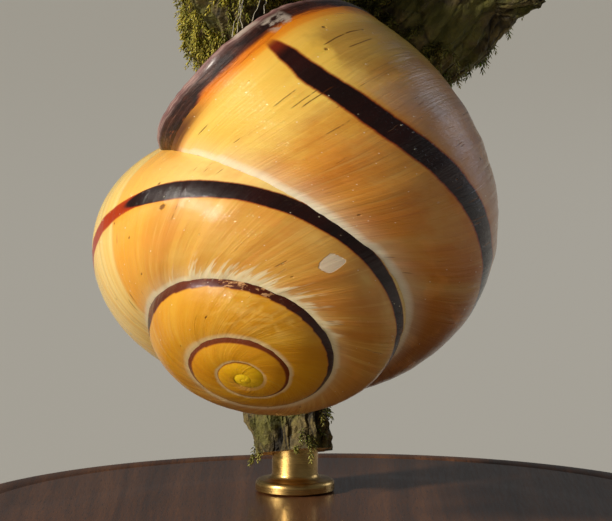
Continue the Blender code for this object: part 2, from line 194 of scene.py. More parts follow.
def vnoise(p, seed=0):
    """Smooth value noise, -1 to 1."""
    p = np.asarray(p, float)
    f = np.floor(p)
    u = p - f
    u = u * u * u * (u * (u * 6 - 15) + 10)
    i, j, k = (f[..., n].astype(np.int64) for n in range(3))
    out = 0.0
    for a in (0, 1):
        for b in (0, 1):
            for c in (0, 1):
                w = (u[..., 0] if a else 1 - u[..., 0]) * (u[..., 1] if b else 1 - u[..., 1]) * (u[..., 2] if c else 1 - u[..., 2])
                out = out + w * _hash(i + a, j + b, k + c, seed)
    return out * 2 - 1


def fbm(p, octaves=4, seed=0, gain=0.5):
    p = np.asarray(p, float)
    out, amp, tot = 0.0, 1.0, 0.0
    for o in range(octaves):
        out = out + amp * vnoise(p * 2 ** o + 17.3 * o, seed + o)
        tot += amp
        amp *= gain
    return out / tot


# ================================================================== mesh and material helpers
def srgb(r, g, b):
    c = np.array([r, g, b], float) / 255
    c = np.where(c <= 0.04045, c / 12.92, ((c + 0.055) / 1.055) ** 2.4)
    return (float(c[0]), float(c[1]), float(c[2]), 1.0)


def mesh_object(name, verts, faces, smooth_shade=True):
    mesh = bpy.data.meshes.new(name)
    verts = np.asarray(verts, np.float32)
    if isinstance(faces, np.ndarray):
        n = faces.shape[1]
        mesh.vertices.add(len(verts))
        mesh.vertices.foreach_set("co", verts.ravel())
        mesh.loops.add(faces.size)
        mesh.loops.foreach_set("vertex_index", faces.ravel().astype(np.int32))
        mesh.polygons.add(len(faces))
        mesh.polygons.foreach_set("loop_start", np.arange(0, faces.size, n, dtype=np.int32))
        mesh.update(calc_edges=True)
        mesh.validate()
    else:
        mesh.from_pydata([tuple(v) for v in verts], [], faces)
    if smooth_shade:
        mesh.shade_smooth()
    ob = bpy.data.objects.new(name, mesh)
    bpy.context.scene.collection.objects.link(ob)
    return ob


def grid_faces(n, m, wrap_m=False, flip=False):
    """Quads of an n by m grid of points."""
    i = np.arange(n - 1)[:, None]
    j = np.arange(m if wrap_m else m - 1)[None, :]
    k = (j + 1) % m
    q = np.stack([i * m + j + 0 * k, i * m + k, (i + 1) * m + k, (i + 1) * m + j + 0 * k], -1).reshape(-1, 4)
    return q[:, ::-1].copy() if flip else q


def add_attribute(ob, name, values):
    a = ob.data.attributes.new(name, "FLOAT", "POINT")
    a.data.foreach_set("value", np.asarray(values, np.float32).ravel())


def set_uv(ob, per_loop, name="OFBake"):
    uv = ob.data.uv_layers.new(name=name)
    uv.data.foreach_set("uv", np.asarray(per_loop, np.float32).ravel())


def loop_vertices(ob):
    v = np.empty(len(ob.data.loops), np.int32)
    ob.data.loops.foreach_get("vertex_index", v)
    return v


def coords(ob):
    c = np.empty(len(ob.data.vertices) * 3, np.float32)
    ob.data.vertices.foreach_get("co", c)
    return c.reshape(-1, 3).astype(float)


def normals(ob):
    c = np.empty(len(ob.data.vertices) * 3, np.float32)
    ob.data.vertices.foreach_get("normal", c)
    return c.reshape(-1, 3).astype(float)


def set_coords(ob, c):
    ob.data.vertices.foreach_set("co", np.asarray(c, np.float32).ravel())
    ob.data.update()


class Mat:
    """A node material; every method returns an output socket."""

    def __init__(self, name):
        self.mat = bpy.data.materials.new(name)
        self.mat.use_nodes = True
        self.nt = self.mat.node_tree
        self.bsdf = self.nt.nodes["Principled BSDF"]

    def put(self, socket, value):
        if isinstance(value, bpy.types.NodeSocket):
            self.nt.links.new(value, socket)
        elif value is not None:
            socket.default_value = value

    def node(self, kind, **props):
        n = self.nt.nodes.new(kind)
        for k, v in props.items():
            setattr(n, k, v)
        return n

    def attr(self, name):
        return self.node("ShaderNodeAttribute", attribute_name=name).outputs["Fac"]

    def math(self, op, a, b=None, c=None, clamp=False):
        n = self.node("ShaderNodeMath", operation=op, use_clamp=clamp)
        for s, v in zip(n.inputs, (a, b, c)):
            self.put(s, v)
        return n.outputs[0]

    def add(self, a, b): return self.math("ADD", a, b)
    def sub(self, a, b): return self.math("SUBTRACT", a, b)
    def mul(self, a, b): return self.math("MULTIPLY", a, b)
    def mx(self, a, b): return self.math("MAXIMUM", a, b)
    def mn(self, a, b): return self.math("MINIMUM", a, b)

    def step(self, x, lo, hi, out0=0.0, out1=1.0):
        n = self.node("ShaderNodeMapRange", interpolation_type="SMOOTHSTEP", clamp=True)
        for s, v in zip(n.inputs, (x, lo, hi, out0, out1)):
            self.put(s, v)
        return n.outputs[0]

    def xyz(self, x, y, z=0.0):
        n = self.node("ShaderNodeCombineXYZ")
        for s, v in zip(n.inputs, (x, y, z)):
            self.put(s, v)
        return n.outputs[0]

    def noise(self, vec, scale=1.0, detail=3.0, rough=0.5, distortion=0.0, dim="3D"):
        n = self.node("ShaderNodeTexNoise", noise_dimensions=dim)
        self.put(n.inputs["Vector"], vec)
        for k, v in (("Scale", scale), ("Detail", detail), ("Roughness", rough), ("Distortion", distortion)):
            self.put(n.inputs[k], v)
        return n.outputs["Fac"]

    def voronoi(self, vec, scale=1.0, feature="F1", out="Distance", randomness=1.0):
        n = self.node("ShaderNodeTexVoronoi", feature=feature)
        self.put(n.inputs["Vector"], vec)
        self.put(n.inputs["Scale"], scale)
        if "Randomness" in n.inputs:
            self.put(n.inputs["Randomness"], randomness)
        return n.outputs[out]

    def ramp(self, fac, stops, interpolation="LINEAR"):
        n = self.node("ShaderNodeValToRGB")
        n.color_ramp.interpolation = interpolation
        els = n.color_ramp.elements
        while len(els) > 1:
            els.remove(els[-1])
        els[0].position, els[0].color = stops[0]
        for p, c in stops[1:]:
            e = els.new(p)
            e.color = c
        self.put(n.inputs["Fac"], fac)
        return n.outputs["Color"]

    def mix(self, fac, a, b, blend="MIX"):
        n = self.node("ShaderNodeMix", data_type="RGBA", blend_type=blend, clamp_factor=True)
        self.put(n.inputs[0], fac)
        self.put(n.inputs[6], a)
        self.put(n.inputs[7], b)
        return n.outputs[2]

    def position(self):
        n = self.node("ShaderNodeNewGeometry")
        return n.outputs["Position"]

    def scaled(self, vec, s):
        n = self.node("ShaderNodeVectorMath", operation="MULTIPLY")
        self.put(n.inputs[0], vec)
        n.inputs[1].default_value = s if isinstance(s, tuple) else (s, s, s)
        return n.outputs[0]

    def offset(self, vec, s):
        n = self.node("ShaderNodeVectorMath", operation="ADD")
        self.put(n.inputs[0], vec)
        n.inputs[1].default_value = s
        return n.outputs[0]

    def separate(self, vec):
        n = self.node("ShaderNodeSeparateXYZ")
        self.put(n.inputs[0], vec)
        return n.outputs[0], n.outputs[1], n.outputs[2]

    def length(self, vec):
        n = self.node("ShaderNodeVectorMath", operation="LENGTH")
        self.put(n.inputs[0], vec)
        return n.outputs["Value"]

    def bump(self, height, distance, strength=1.0, normal=None):
        n = self.node("ShaderNodeBump")
        n.inputs["Strength"].default_value = strength
        n.inputs["Distance"].default_value = distance
        self.put(n.inputs["Height"], height)
        if normal is not None:
            self.put(n.inputs["Normal"], normal)
        return n.outputs["Normal"]

    def set(self, **values):
        names = dict(color="Base Color", rough="Roughness", metal="Metallic", normal="Normal", coat="Coat Weight", coat_rough="Coat Roughness",
                     coat_normal="Coat Normal", sub="Subsurface Weight", sub_radius="Subsurface Radius", sub_scale="Subsurface Scale",
                     ior="IOR", spec="Specular IOR Level", sheen="Sheen Weight", alpha="Alpha", transmission="Transmission Weight")
        for k, v in values.items():
            self.put(self.bsdf.inputs[names[k]], v)
        return self.mat


# ================================================================== the shell's skin
# where the growth is at the suture of every whorl, and how far along the coil, in mm
_ts = np.linspace(-0.2, T_LIP + 0.3, 1200)
_arc = np.concatenate([[0.0], np.cumsum(2 * pi * 0.86 * 0.5 * (coil_radius(_ts[1:]) + coil_radius(_ts[:-1])) * np.diff(_ts))])


def growth_mm(t):
    return np.interp(t, _ts, _arc)


def nucleus(t):
    """The first bit of the coil is rounded off."""
    return np.sqrt(np.clip(1 - (np.clip(0.16 - t, 0, 0.26) / 0.26) ** 2, 0.0004, 1))


LIPM = 2 * pi * 12.0                      # mm of growth per turn near the lip
N_T = 1150
N_PH = 236
share = np.linspace(0, 1, N_T)
t_line = -0.10 + (T_LIP + 0.10) * share ** 0.62      # closer steps are not needed near the apex
ph_line = np.linspace(-pi, pi, N_PH)
# the grid leans with the lip over the last half whorl, so that it ends along the lip
lean = smooth((t_line - (T_LIP - 0.9)) / 0.8)[:, None]
lag_now = lip_lag(ph_line)[None, :]
T = t_line[:, None] - lean * (lag_now + 0.95 / LIPM)
PH = np.broadcast_to(ph_line[None, :], T.shape)
rho, z = section(T, PH, 0.0, 0.0)
s = nucleus(T)
mid_rho, mid_z = coil_radius(T) * (1 - SECTION_WIDTH), _zz(T)
PHW = wrap(PH)
free_rho = coil_radius(T) * (1 - SECTION_WIDTH + SECTION_WIDTH * np.cos(PHW) * cos(SECTION_TILT)) - (SECTION_TOP - SECTION_TOP_LOSS * (T_LIP - T) / T_LIP) * coil_radius(T) * np.sin(PHW) * sin(SECTION_TILT)
rho = np.where((T < 1.0) & (PHW > 0), free_rho, rho)
rho, z = mid_rho + (rho - mid_rho) * s, mid_z + (z - mid_z) * s
centre_in = smooth((0.75 - T) / 0.85)
rho = rho - centre_in * mid_rho * 0.80
z = z - 0.150 * np.clip(1 - T, 0, 1.1) ** 1.15
rho = np.maximum(rho, np.where(T < 1.0, -2.0, np.where(T < 1.5, 0.0, 0.25)))

# a whorl settles on the one before it: the surfaces cross at the suture, and how deep each point lies inside the
# neighbouring whorls is measured so that buried faces can be left out
deep_prev = np.where(T > 0.95, depth_inside(np.maximum(T - 1, -0.1), rho, z), -9.0)
deep_next = depth_inside(np.minimum(T + 1, T_LIP), rho, z)
next_there = (T + 1 < T_LIP - lip_lag(PH * 0 + 1.2) - 0.02)
deep_next = np.where(next_there, deep_next, -9.0)
hide = np.maximum(deep_prev, deep_next)

# small uneven growth: fine swellings along the growth lines and faint dents
G = growth_mm(T + lip_lag(PH))
ACROSS = PH * SECTION_WIDTH * 1.05 * coil_radius(T)
size = np.clip(coil_radius(T) / 9.0, 0.15, 1)
lift = size * (0.030 * vnoise(st(G * 0.9, ACROSS * 0.05, 0 * G), 3)
               + 0.014 * vnoise(st(G * 2.6, ACROSS * 0.10, 0 * G + 5), 4)
               + 0.045 * vnoise(st(G * 0.16, ACROSS * 0.22, 0 * G + 9), 5))
drho, dz = rho - mid_rho, z - mid_z
dl = np.sqrt(drho ** 2 + dz ** 2) + 1e-6
rho, z = rho + drho / dl * lift, z + dz / dl * lift
rho = np.maximum(rho, np.where(T < 1.0, -2.0, np.where(T < 1.5, 0.0, 0.25)))
P = coil_to_world(T, rho, z)

faces = grid_faces(N_T, N_PH, flip=True)
face_hide = hide.ravel()[faces].min(axis=1)
faces = faces[face_hide < 0.30]
shell = mesh_object("shell_whorls", P.reshape(-1, 3), faces)
# distance below the upper suture and above the lower one, mm, read along each section
step_mm = np.sqrt(np.diff(rho, axis=1) ** 2 + np.diff(z, axis=1) ** 2)
run = np.concatenate([np.zeros((N_T, 1)), np.cumsum(step_mm, axis=1)], axis=1)


def edge_distance(mask):
    """Length along the section from each point to where `mask` (hidden) begins, going up in ph."""
    out = np.full(T.shape, 50.0)
    mid = N_PH // 3
    for i in range(N_T):
        j = np.nonzero(mask[i, mid:])[0]
        if len(j):
            out[i] = run[i, mid + j[0]] - run[i]
    return out


up_suture = edge_distance(deep_prev > 0.0)
low = np.full(T.shape, 50.0)
for i in range(N_T):
    j = np.nonzero(deep_next[i, :2 * N_PH // 3] > 0.0)[0]
    if len(j):
        low[i] = run[i] - run[i, j[-1]]
BAND_AT, BAND_DRIFT, BAND_HALF = 0.5016, 0.016, 0.0961
lip_gap = (T_LIP - lip_lag(PH) - T) * LIPM
near_lip = spline([0.5, 1.7, 2.9, 4.3, 6.2, 8.4, 10.6, 12.9, 15.5, 18.5, 22.0], [-0.14, -0.100, -0.048, 0.018, 0.050, 0.075, 0.062, 0.036, 0.016, 0.002, 0.0])
band_centre = BAND_AT - BAND_DRIFT * (T_LIP - T) + np.where(lip_gap < 22.0, near_lip(np.clip(lip_gap, 0.5, 22.0)), 0.0)
band_d = (PH - band_centre) / BAND_HALF
for key, val in (("turn", T), ("growth", G), ("across", ACROSS), ("lipgap", lip_gap), ("upsut", up_suture), ("lowsut", low), ("bandd", band_d), ("phi", PH)):
    add_attribute(shell, key, val)
# small marks, each at (turn, section angle) with a radius in mm
SPOTS = ((4.029, 0.667, 0.18), (4.859, -0.442, 0.09), (4.826, 0.322, 0.08), (3.99, 1.02, 0.08), (4.42, 0.9, 0.12), (4.35, 0.1, 0.10), (4.60, -0.4, 0.11), (3.45, 0.9, 0.09))
CHIP = (3.837, 0.885, 0.46, 0.64)


def mm_from(t0, ph0):
    """Growth-wise and across distance in mm from a place on the shell, on that whorl only."""
    r0 = float(coil_radius(t0))
    dg = (T + lip_lag(PH) - t0 - float(lip_lag(ph0))) * 2 * pi * 0.9 * r0
    da = (PH - ph0) * SECTION_WIDTH * 1.05 * r0
    return dg, da


spots = np.full(T.shape, 9.0)
for t0, ph0, rad0 in SPOTS:
    dg, da = mm_from(t0, ph0)
    spots = np.minimum(spots, np.sqrt(dg ** 2 + da ** 2) / rad0)
add_attribute(shell, "spot", spots)
dg, da = mm_from(CHIP[0], CHIP[1])
chip = (np.abs((dg + 0.35 * da) / CHIP[2]) ** 9 + np.abs((da - 0.25 * dg) / CHIP[3]) ** 9 + np.maximum((dg * 0.8 + da) / 0.60, 0) ** 9) ** (1 / 9)
add_attribute(shell, "chip", np.minimum(chip, 9.0))
add_attribute(shell, "gturn", T + lip_lag(PH))
# bake map: one row for each whorl, along it the growth, across it the section
lv = loop_vertices(shell)
tl, pl = T.ravel()[lv], PH.ravel()[lv]
n_poly = len(shell.data.polygons)
tf = tl.reshape(n_poly, 4).mean(axis=1)
row = np.clip(np.floor(T_LIP - tf), 0, 4).repeat(4).astype(int)
top_of = np.array([0.99, 0.55, 0.29, 0.15, 0.07])[row]
high = np.array([0.43, 0.25, 0.13, 0.07, 0.06])[row]
u = 0.01 + 0.98 * np.clip((T_LIP - tl) - row, -0.02, 1.02)
v = top_of - high * (pl + pi) / (2 * pi)
set_uv(shell, np.stack([u, v], -1))
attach(shell, "root")
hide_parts("shell_apex", "shell_spire_upper", "shell_spire_lower", "shell_penultimate_whorl", "shell_body_whorl", "shell_columella")


def hairline(t0, ph0, reach, weight):
    """Growth, across from and to, mm, and strength of a hairline centred on a place of the shell."""
    mid = ph0 * SECTION_WIDTH * 1.05 * float(coil_radius(t0))
    return float(growth_mm(t0 + float(lip_lag(ph0)))), mid - reach / 2, mid + reach / 2, weight


HAIRLINES = [hairline(4.898, 0.66, 2.0, 0.75), hairline(4.906, 0.72, 1.8, 0.6), hairline(4.919, 0.78, 1.6, 0.6), hairline(4.893, 0.05, 2.6, 0.80), hairline(4.880, 0.02, 1.8, 0.7),
             hairline(4.880, 0.80, 1.5, 0.5)]


def shell_material():
    m = Mat("shell_glaze")
    turn, growth, across, gturn = m.attr("turn"), m.attr("growth"), m.attr("across"), m.attr("gturn")
    lipgap, upsut, lowsut, bandd = m.attr("lipgap"), m.attr("upsut"), m.attr("lowsut"), m.attr("bandd")
    spot, chip = m.attr("spot"), m.attr("chip")
    streak_wide = m.noise(m.xyz(m.mul(growth, 0.42), m.mul(across, 0.09), 3.0), 1.0, 3.0, 0.55)
    streak_fine = m.noise(m.xyz(m.mul(growth, 2.6), m.mul(across, 0.13), 7.0), 1.0, 4.0, 0.6)
    streak_hair = m.noise(m.xyz(m.mul(growth, 8.0), m.mul(across, 0.25), 1.0), 1.0, 3.0, 0.7)
    cloud = m.noise(m.xyz(m.mul(growth, 0.20), m.mul(across, 0.30), 11.0), 1.0, 4.0, 0.55)
    whorl = m.math("DIVIDE", turn, T_LIP)

    # colour along the growth, from the yellow first whorls to the last; the darker stretch near 0.86 to 0.92 of the
    # ramps (turns 4.4 to 4.7) is partly painted shade
    base = m.ramp(whorl, [
        (0.00, srgb(246, 200, 30)), (0.16, srgb(238, 182, 20)), (0.21, srgb(228, 168, 16)), (0.27, srgb(222, 154, 20)), (0.40, srgb(216, 148, 22)), (0.52, srgb(208, 144, 20)), (0.63, srgb(212, 146, 24)),
        (0.67, srgb(206, 142, 52)), (0.735, srgb(200, 136, 54)), (0.775, srgb(222, 163, 66)), (0.80, srgb(226, 170, 70)), (0.86, srgb(180, 120, 50)), (0.895, srgb(146, 92, 37)), (0.917, srgb(168, 102, 34)), (0.935, srgb(196, 120, 36)), (0.965, srgb(222, 150, 52)), (1.00, srgb(232, 166, 66))])
    deep = m.ramp(whorl, [
        (0.00, srgb(236, 186, 14)), (0.18, srgb(222, 152, 8)), (0.30, srgb(202, 124, 8)), (0.60, srgb(188, 114, 10)), (0.72, srgb(184, 108, 34)), (0.78, srgb(208, 126, 40)), (0.88, srgb(120, 66, 20)), (0.94, srgb(176, 94, 18)), (1.00, srgb(196, 118, 30))])
    pale = m.ramp(whorl, [
        (0.00, srgb(242, 208, 50)), (0.36, srgb(232, 182, 58)), (0.62, srgb(228, 182, 66)), (0.70, srgb(238, 196, 104)), (0.80, srgb(242, 204, 116)), (0.90, srgb(190, 146, 82)), (1.00, srgb(242, 204, 114))])
    col = m.mix(m.mul(m.step(streak_wide, 0.46, 0.66), 0.50), base, deep)
    col = m.mix(m.mul(m.step(streak_wide, 0.46, 0.28), 0.40), col, pale)
    fine_strength = m.mul(m.step(turn, 2.9, 3.5, 0.13, 0.40), m.step(turn, 4.3, 4.7, 1.0, 0.70))
    col = m.mix(m.mul(m.step(streak_fine, 0.52, 0.70), fine_strength), col, deep)
    col = m.mix(m.mul(m.step(streak_fine, 0.47, 0.30), fine_strength), col, pale)
    col = m.mix(m.mul(m.step(cloud, 0.48, 0.70), m.step(turn, 2.8, 3.4, 0.12, 0.35)), col, pale)
    # between the band and the next suture the shell is paler
    above = m.mul(m.step(bandd, 0.6, -1.2), m.mul(m.step(turn, 3.1, 3.5), m.step(turn, 4.45, 4.2)))
    col = m.mix(m.mul(above, 0.80), col, srgb(246, 214, 132))
    # below the band a cream flush, then patches of peach
    below = m.mul(m.mul(m.step(bandd, 1.0, 1.8), m.step(bandd, 5.5, 1.8)), m.mul(m.step(turn, 3.5, 3.8), m.step(turn, 4.30, 4.15)))
    col = m.mix(m.mul(m.mul(below, m.step(cloud, 0.35, 0.62)), 0.40), col, srgb(244, 208, 124))
    peach = m.noise(m.xyz(m.mul(growth, 0.45), m.mul(across, 0.5), 27.0), 1.0, 3.0, 0.6)
    col = m.mix(m.mul(m.mul(m.step(peach, 0.52, 0.68), m.step(turn, 3.3, 3.6)), 0.35), col, srgb(228, 150, 66))
    # growth stopped once here: richer before the line, cream after it
    rest_edge = m.add(gturn, m.mul(m.sub(streak_hair, 0.5), 0.004))
    col = m.mix(m.mul(m.mul(m.step(gturn, 4.120, 4.215), m.step(rest_edge, 4.228, 4.222)), 0.60), col, srgb(246, 166, 38))
    col = m.mix(m.mul(m.mul(m.step(rest_edge, 4.223, 4.229), m.step(gturn, 4.52, 4.34)), 0.75), col, m.mix(m.step(streak_fine, 0.4, 0.65), srgb(246, 214, 132), srgb(238, 194, 100)))
    # the last few millimetres before the lip are clean butter yellow, with a ragged start
    ragged = m.add(lipgap, m.mul(m.sub(m.noise(m.xyz(m.mul(growth, 0.7), m.mul(across, 0.55), 2.0), 1.0, 4.0, 0.6), 0.5), 6.0))
    near = m.step(ragged, 8.8, 3.8)
    col = m.mix(m.mul(near, 0.95), col, m.mix(m.step(streak_wide, 0.30, 0.75), srgb(246, 206, 98), srgb(240, 192, 78)))
    grey_streak = m.mul(m.mul(m.step(lipgap, 4.3, 5.6), m.step(lipgap, 9.0, 6.6)), m.mul(m.step(streak_hair, 0.50, 0.62), m.step(across, 3.2, 1.2)))
    col = m.mix(m.mul(grey_streak, 0.45), col, srgb(146, 112, 44))
    # beyond the band the last whorl is duller, greyish tan; its lilac-grey is partly the shell's own paler tone and
    # partly a painted sheen of reflected sky
    past_tone_and_sheen = m.mul(m.mul(m.step(bandd, -0.9, -1.9), m.step(bandd, -16.0, -9.0)), m.mul(m.step(turn, 4.40, 4.60), m.step(m.add(lipgap, m.mul(m.sub(cloud, 0.5), 6.0)), 4.6, 9.5)))
    col = m.mix(m.mul(past_tone_and_sheen, m.step(cloud, 0.30, 0.65, 0.40, 0.68)), col, m.mix(m.step(peach, 0.4, 0.6), srgb(196, 167, 152), srgb(204, 162, 122)))

    brown_at = m.add(bandd, m.mul(m.sub(peach, 0.5), 5.0))
    brown = m.mul(m.mul(m.step(brown_at, -1.6, -3.0), m.step(bandd, -12.0, -8.0)), m.mul(m.step(lipgap, 1.6, 3.0), m.step(m.add(lipgap, m.mul(m.sub(cloud, 0.5), 7.0)), 7.5, 4.5)))
    col = m.mix(m.mul(brown, 0.62), col, srgb(160, 112, 50))

    # white line along the sutures, with ragged rays along the growth lines on one stretch
    ray_here = m.mul(m.step(turn, 3.70, 3.82), m.step(turn, 4.10, 4.00))
    ray_cell = m.noise(m.xyz(m.mul(growth, 1.35), m.mul(across, 0.35), 17.0), 1.0, 3.0, 0.6)
    ray = m.mul(m.step(ray_cell, 0.46, 0.58), m.step(streak_fine, 0.36, 0.56))
    drift = m.noise(m.xyz(m.mul(growth, 0.30), 0.0, 21.0), 1.0, 2.0)
    width = m.ramp(whorl, [(0.0, (0, 0, 0, 1)), (0.24, (0.03, 0.03, 0.03, 1)), (0.36, (0.14, 0.14, 0.14, 1)), (0.46, (0.20, 0.20, 0.20, 1)), (0.54, (0.30, 0.30, 0.30, 1)), (0.61, (0.40, 0.40, 0.40, 1)), (0.70, (0.56, 0.56, 0.56, 1)),
                           (0.80, (0.56, 0.56, 0.56, 1)), (0.85, (0.26, 0.26, 0.26, 1)), (0.89, (0.34, 0.34, 0.34, 1)), (0.93, (0.78, 0.78, 0.78, 1)), (0.97, (0.80, 0.80, 0.80, 1)), (1.0, (0.48, 0.48, 0.48, 1))])
    reach = m.add(m.mul(width, m.add(0.65, m.mul(drift, 0.7))), m.mul(m.mul(ray, ray_here), 1.25))
    halo = m.math("SUBTRACT", 1.0, m.math("DIVIDE", upsut, m.add(m.mul(width, 2.3), 0.02)), clamp=True)
    halo = m.mul(m.mul(m.mul(halo, halo), m.step(turn, 2.6, 4.2)), 0.55)
    core = m.math("SUBTRACT", 1.0, m.math("DIVIDE", upsut, m.add(m.mul(reach, 0.98), 0.02)), clamp=True)
    white = m.mx(m.mul(m.mul(m.step(core, 0.0, 0.75), m.step(turn, 1.1, 2.2)), m.step(turn, 3.0, 4.0, 0.50, 0.88)), halo)
    col = m.mix(white, col, m.mix(m.step(turn, 3.9, 4.4), srgb(244, 226, 182), srgb(246, 232, 204)))
    # patchy dark brown right along the upper suture, on turns 3.8 to 4.3
    suture_darkening = m.mul(m.step(upsut, 0.10, 0.02), m.step(m.noise(m.xyz(m.mul(growth, 2.4), 0.0, 33.0), 1.0, 3.0, 0.7), 0.52, 0.62))
    col = m.mix(m.mul(m.mul(suture_darkening, m.step(turn, 3.8, 4.3)), 0.75), col, srgb(92, 62, 30))

    # mottled net on one stretch of the third whorl
    nw = m.noise(m.xyz(m.mul(growth, 0.9), m.mul(across, 0.9), 71.0), 1.0, 3.0, 0.6)
    nw2 = m.noise(m.xyz(m.mul(growth, 0.9), m.mul(across, 0.9), 83.0), 1.0, 3.0, 0.6)
    net = m.voronoi(m.xyz(m.add(m.mul(growth, 1.15), m.mul(nw, 1.6)), m.add(m.mul(across, 1.5), m.mul(nw2, 1.6)), 0.0), 1.0, "DISTANCE_TO_EDGE")
    net_here = m.mul(m.mul(m.step(turn, 2.78, 2.86), m.step(turn, 3.06, 2.94)), m.step(upsut, 0.2, 0.9))
    netmask = m.mul(m.step(net, 0.21, 0.02), net_here)
    col = m.mix(m.mul(m.mul(m.step(net, 0.22, 0.42), m.step(nw2, 0.47, 0.58)), m.mul(net_here, 0.6)), col, srgb(214, 124, 16))
    col = m.mix(m.mul(netmask, m.step(nw, 0.35, 0.6, 0.06, 0.36)), col, srgb(238, 192, 96))

    # the brown of the lip shines through as an orange glow beside it
    glow_at = m.add(lipgap, m.mul(m.sub(streak_fine, 0.5), 0.7))
    low_lip = m.step(m.attr("phi"), 0.92, 1.32)               # toward the foot of the lip the brown itself comes further back
    high_lip = m.math("SUBTRACT", 1.0, m.mul(low_lip, 0.8))
    col = m.mix(m.mul(m.mul(m.step(glow_at, 2.8, 1.6), 0.45), high_lip), col, srgb(248, 166, 30))
    col = m.mix(m.mul(m.mul(m.step(glow_at, 2.0, 1.25), 0.90), high_lip), col, srgb(238, 132, 8))
    col = m.mix(m.mul(m.mul(m.step(glow_at, 2.35, 1.75), 0.6), low_lip), col, srgb(196, 118, 36))
    col = m.mix(m.mul(m.mul(m.step(glow_at, 1.95, 1.45), 0.95), low_lip), col, srgb(84, 42, 22))

    # the dark band
    wob = m.add(m.mul(m.sub(m.noise(m.xyz(m.mul(growth, 0.8), m.mul(across, 0.2), 31.0), 1.0, 3.0, 0.6), 0.5), 0.30),
                m.mul(m.sub(streak_hair, 0.5), 0.10))
    bd = m.add(m.math("ABSOLUTE", bandd), wob)
    taper = m.ramp(m.mul(lipgap, 0.05), [(0.078, (0.26, 0.26, 0.26, 1)), (0.13, (0.60, 0.60, 0.60, 1)), (0.20, (0.76, 0.76, 0.76, 1)), (0.31, (0.84, 0.84, 0.84, 1)), (0.45, (0.92, 0.92, 0.92, 1)), (0.62, (1.06, 1.06, 1.06, 1)), (0.95, (1.02, 1.02, 1.02, 1))])
    thin = m.mul(m.step(m.add(turn, m.mul(m.mul(bandd, bandd), 0.030)), 4.064, 4.092), m.step(turn, 4.42, 4.34))
    half = m.mul(taper, m.math("SUBTRACT", 1.0, m.mul(thin, 0.34)))
    body = m.step(m.sub(bd, half), 0.12, -0.04)
    red = m.step(m.sub(bd, half), 0.30, 0.04)
    there = m.mul(m.step(m.add(lipgap, m.mul(wob, 0.6)), 1.35, 1.9), m.step(turn, 3.132, 3.168))
    tip_red = m.mx(m.step(lipgap, 2.6, 1.8), m.step(thin, 0.25, 0.75))
    dark = m.mix(m.step(streak_wide, 0.35, 0.7), srgb(26, 8, 5), srgb(42, 12, 8))
    dark = m.mix(tip_red, dark, m.mix(thin, srgb(120, 38, 12), m.mix(m.step(turn, 4.13, 4.24), srgb(170, 52, 2), srgb(132, 30, 3))))
    edge_red = m.mix(thin, srgb(140, 40, 12), srgb(182, 70, 6))
    # on the earlier whorls it lies against the suture below it
    hug = m.ramp(m.mul(turn, 0.25), [(0.16, (0, 0, 0, 1)), (0.20, (0.045, 0.045, 0.045, 1)), (0.33, (0.05, 0.05, 0.05, 1)), (0.42, (0.15, 0.15, 0.15, 1)), (0.48, (0.31, 0.31, 0.31, 1)),
                           (0.53, (0.27, 0.27, 0.27, 1)), (0.58, (0.20, 0.20, 0.20, 1)), (0.65, (0.34, 0.34, 0.34, 1)), (0.69, (0.42, 0.42, 0.42, 1)), (0.75, (0.44, 0.44, 0.44, 1)), (0.772, (0.52, 0.52, 0.52, 1)), (0.787, (0.86, 0.86, 0.86, 1)), (0.82, (0.95, 0.95, 0.95, 1))])
    lowd = m.sub(m.add(lowsut, m.mul(wob, 0.16)), hug)
    inner = m.mul(m.step(lowd, 0.05, -0.03), m.step(turn, 3.30, 3.18))
    inner_red = m.mul(m.step(lowd, 0.10, 0.0), m.step(turn, 3.30, 3.18))
    inner_col = m.ramp(m.mul(turn, 0.25), [(0.20, srgb(120, 78, 18)), (0.42, srgb(120, 52, 10)), (0.60, srgb(98, 38, 8)), (0.66, srgb(40, 16, 8)), (0.71, srgb(60, 20, 8)), (0.76, srgb(92, 32, 10)), (0.82, srgb(44, 14, 10))])
    worn = m.mul(m.mul(m.step(turn, 2.86, 2.92), m.step(turn, 3.02, 2.96)), m.step(m.noise(m.xyz(m.mul(growth, 1.6), m.mul(across, 1.6), 51.0), 1.0, 3.0, 0.7), 0.52, 0.60))
    col = m.mix(m.mul(m.mul(inner_red, 0.85), m.step(turn, 0.75, 1.0)), col, srgb(176, 92, 20))
    col = m.mix(m.mul(m.mul(inner, m.step(turn, 0.75, 1.0)), m.math("SUBTRACT", 1.0, m.mul(worn, 0.75))), col, inner_col)
    col = m.mix(m.mul(m.mul(inner, worn), 0.6), col, srgb(216, 178, 132))
    col = m.mix(m.mul(m.mul(red, there), 0.9), col, edge_red)
    col = m.mix(m.mul(body, there), col, dark)

    # a few long dark hairlines that run with the growth, near the lip
    for at, low_, high_, weight in HAIRLINES:
        gap = m.math("ABSOLUTE", m.sub(m.add(growth, m.mul(m.sub(m.noise(m.xyz(m.mul(across, 0.45), at, 5.0), 1.0, 2.0), 0.5), 0.35)), at))
        along_ = m.mul(m.step(across, low_, low_ + 0.3), m.step(across, high_, high_ - 0.3))
        broken = m.step(m.noise(m.xyz(m.mul(across, 1.6), at, 9.0), 1.0, 2.0), 0.28, 0.42)
        col = m.mix(m.mul(m.mul(m.mul(m.step(gap, 0.050, 0.018), along_), broken), weight), col, srgb(70, 34, 10))
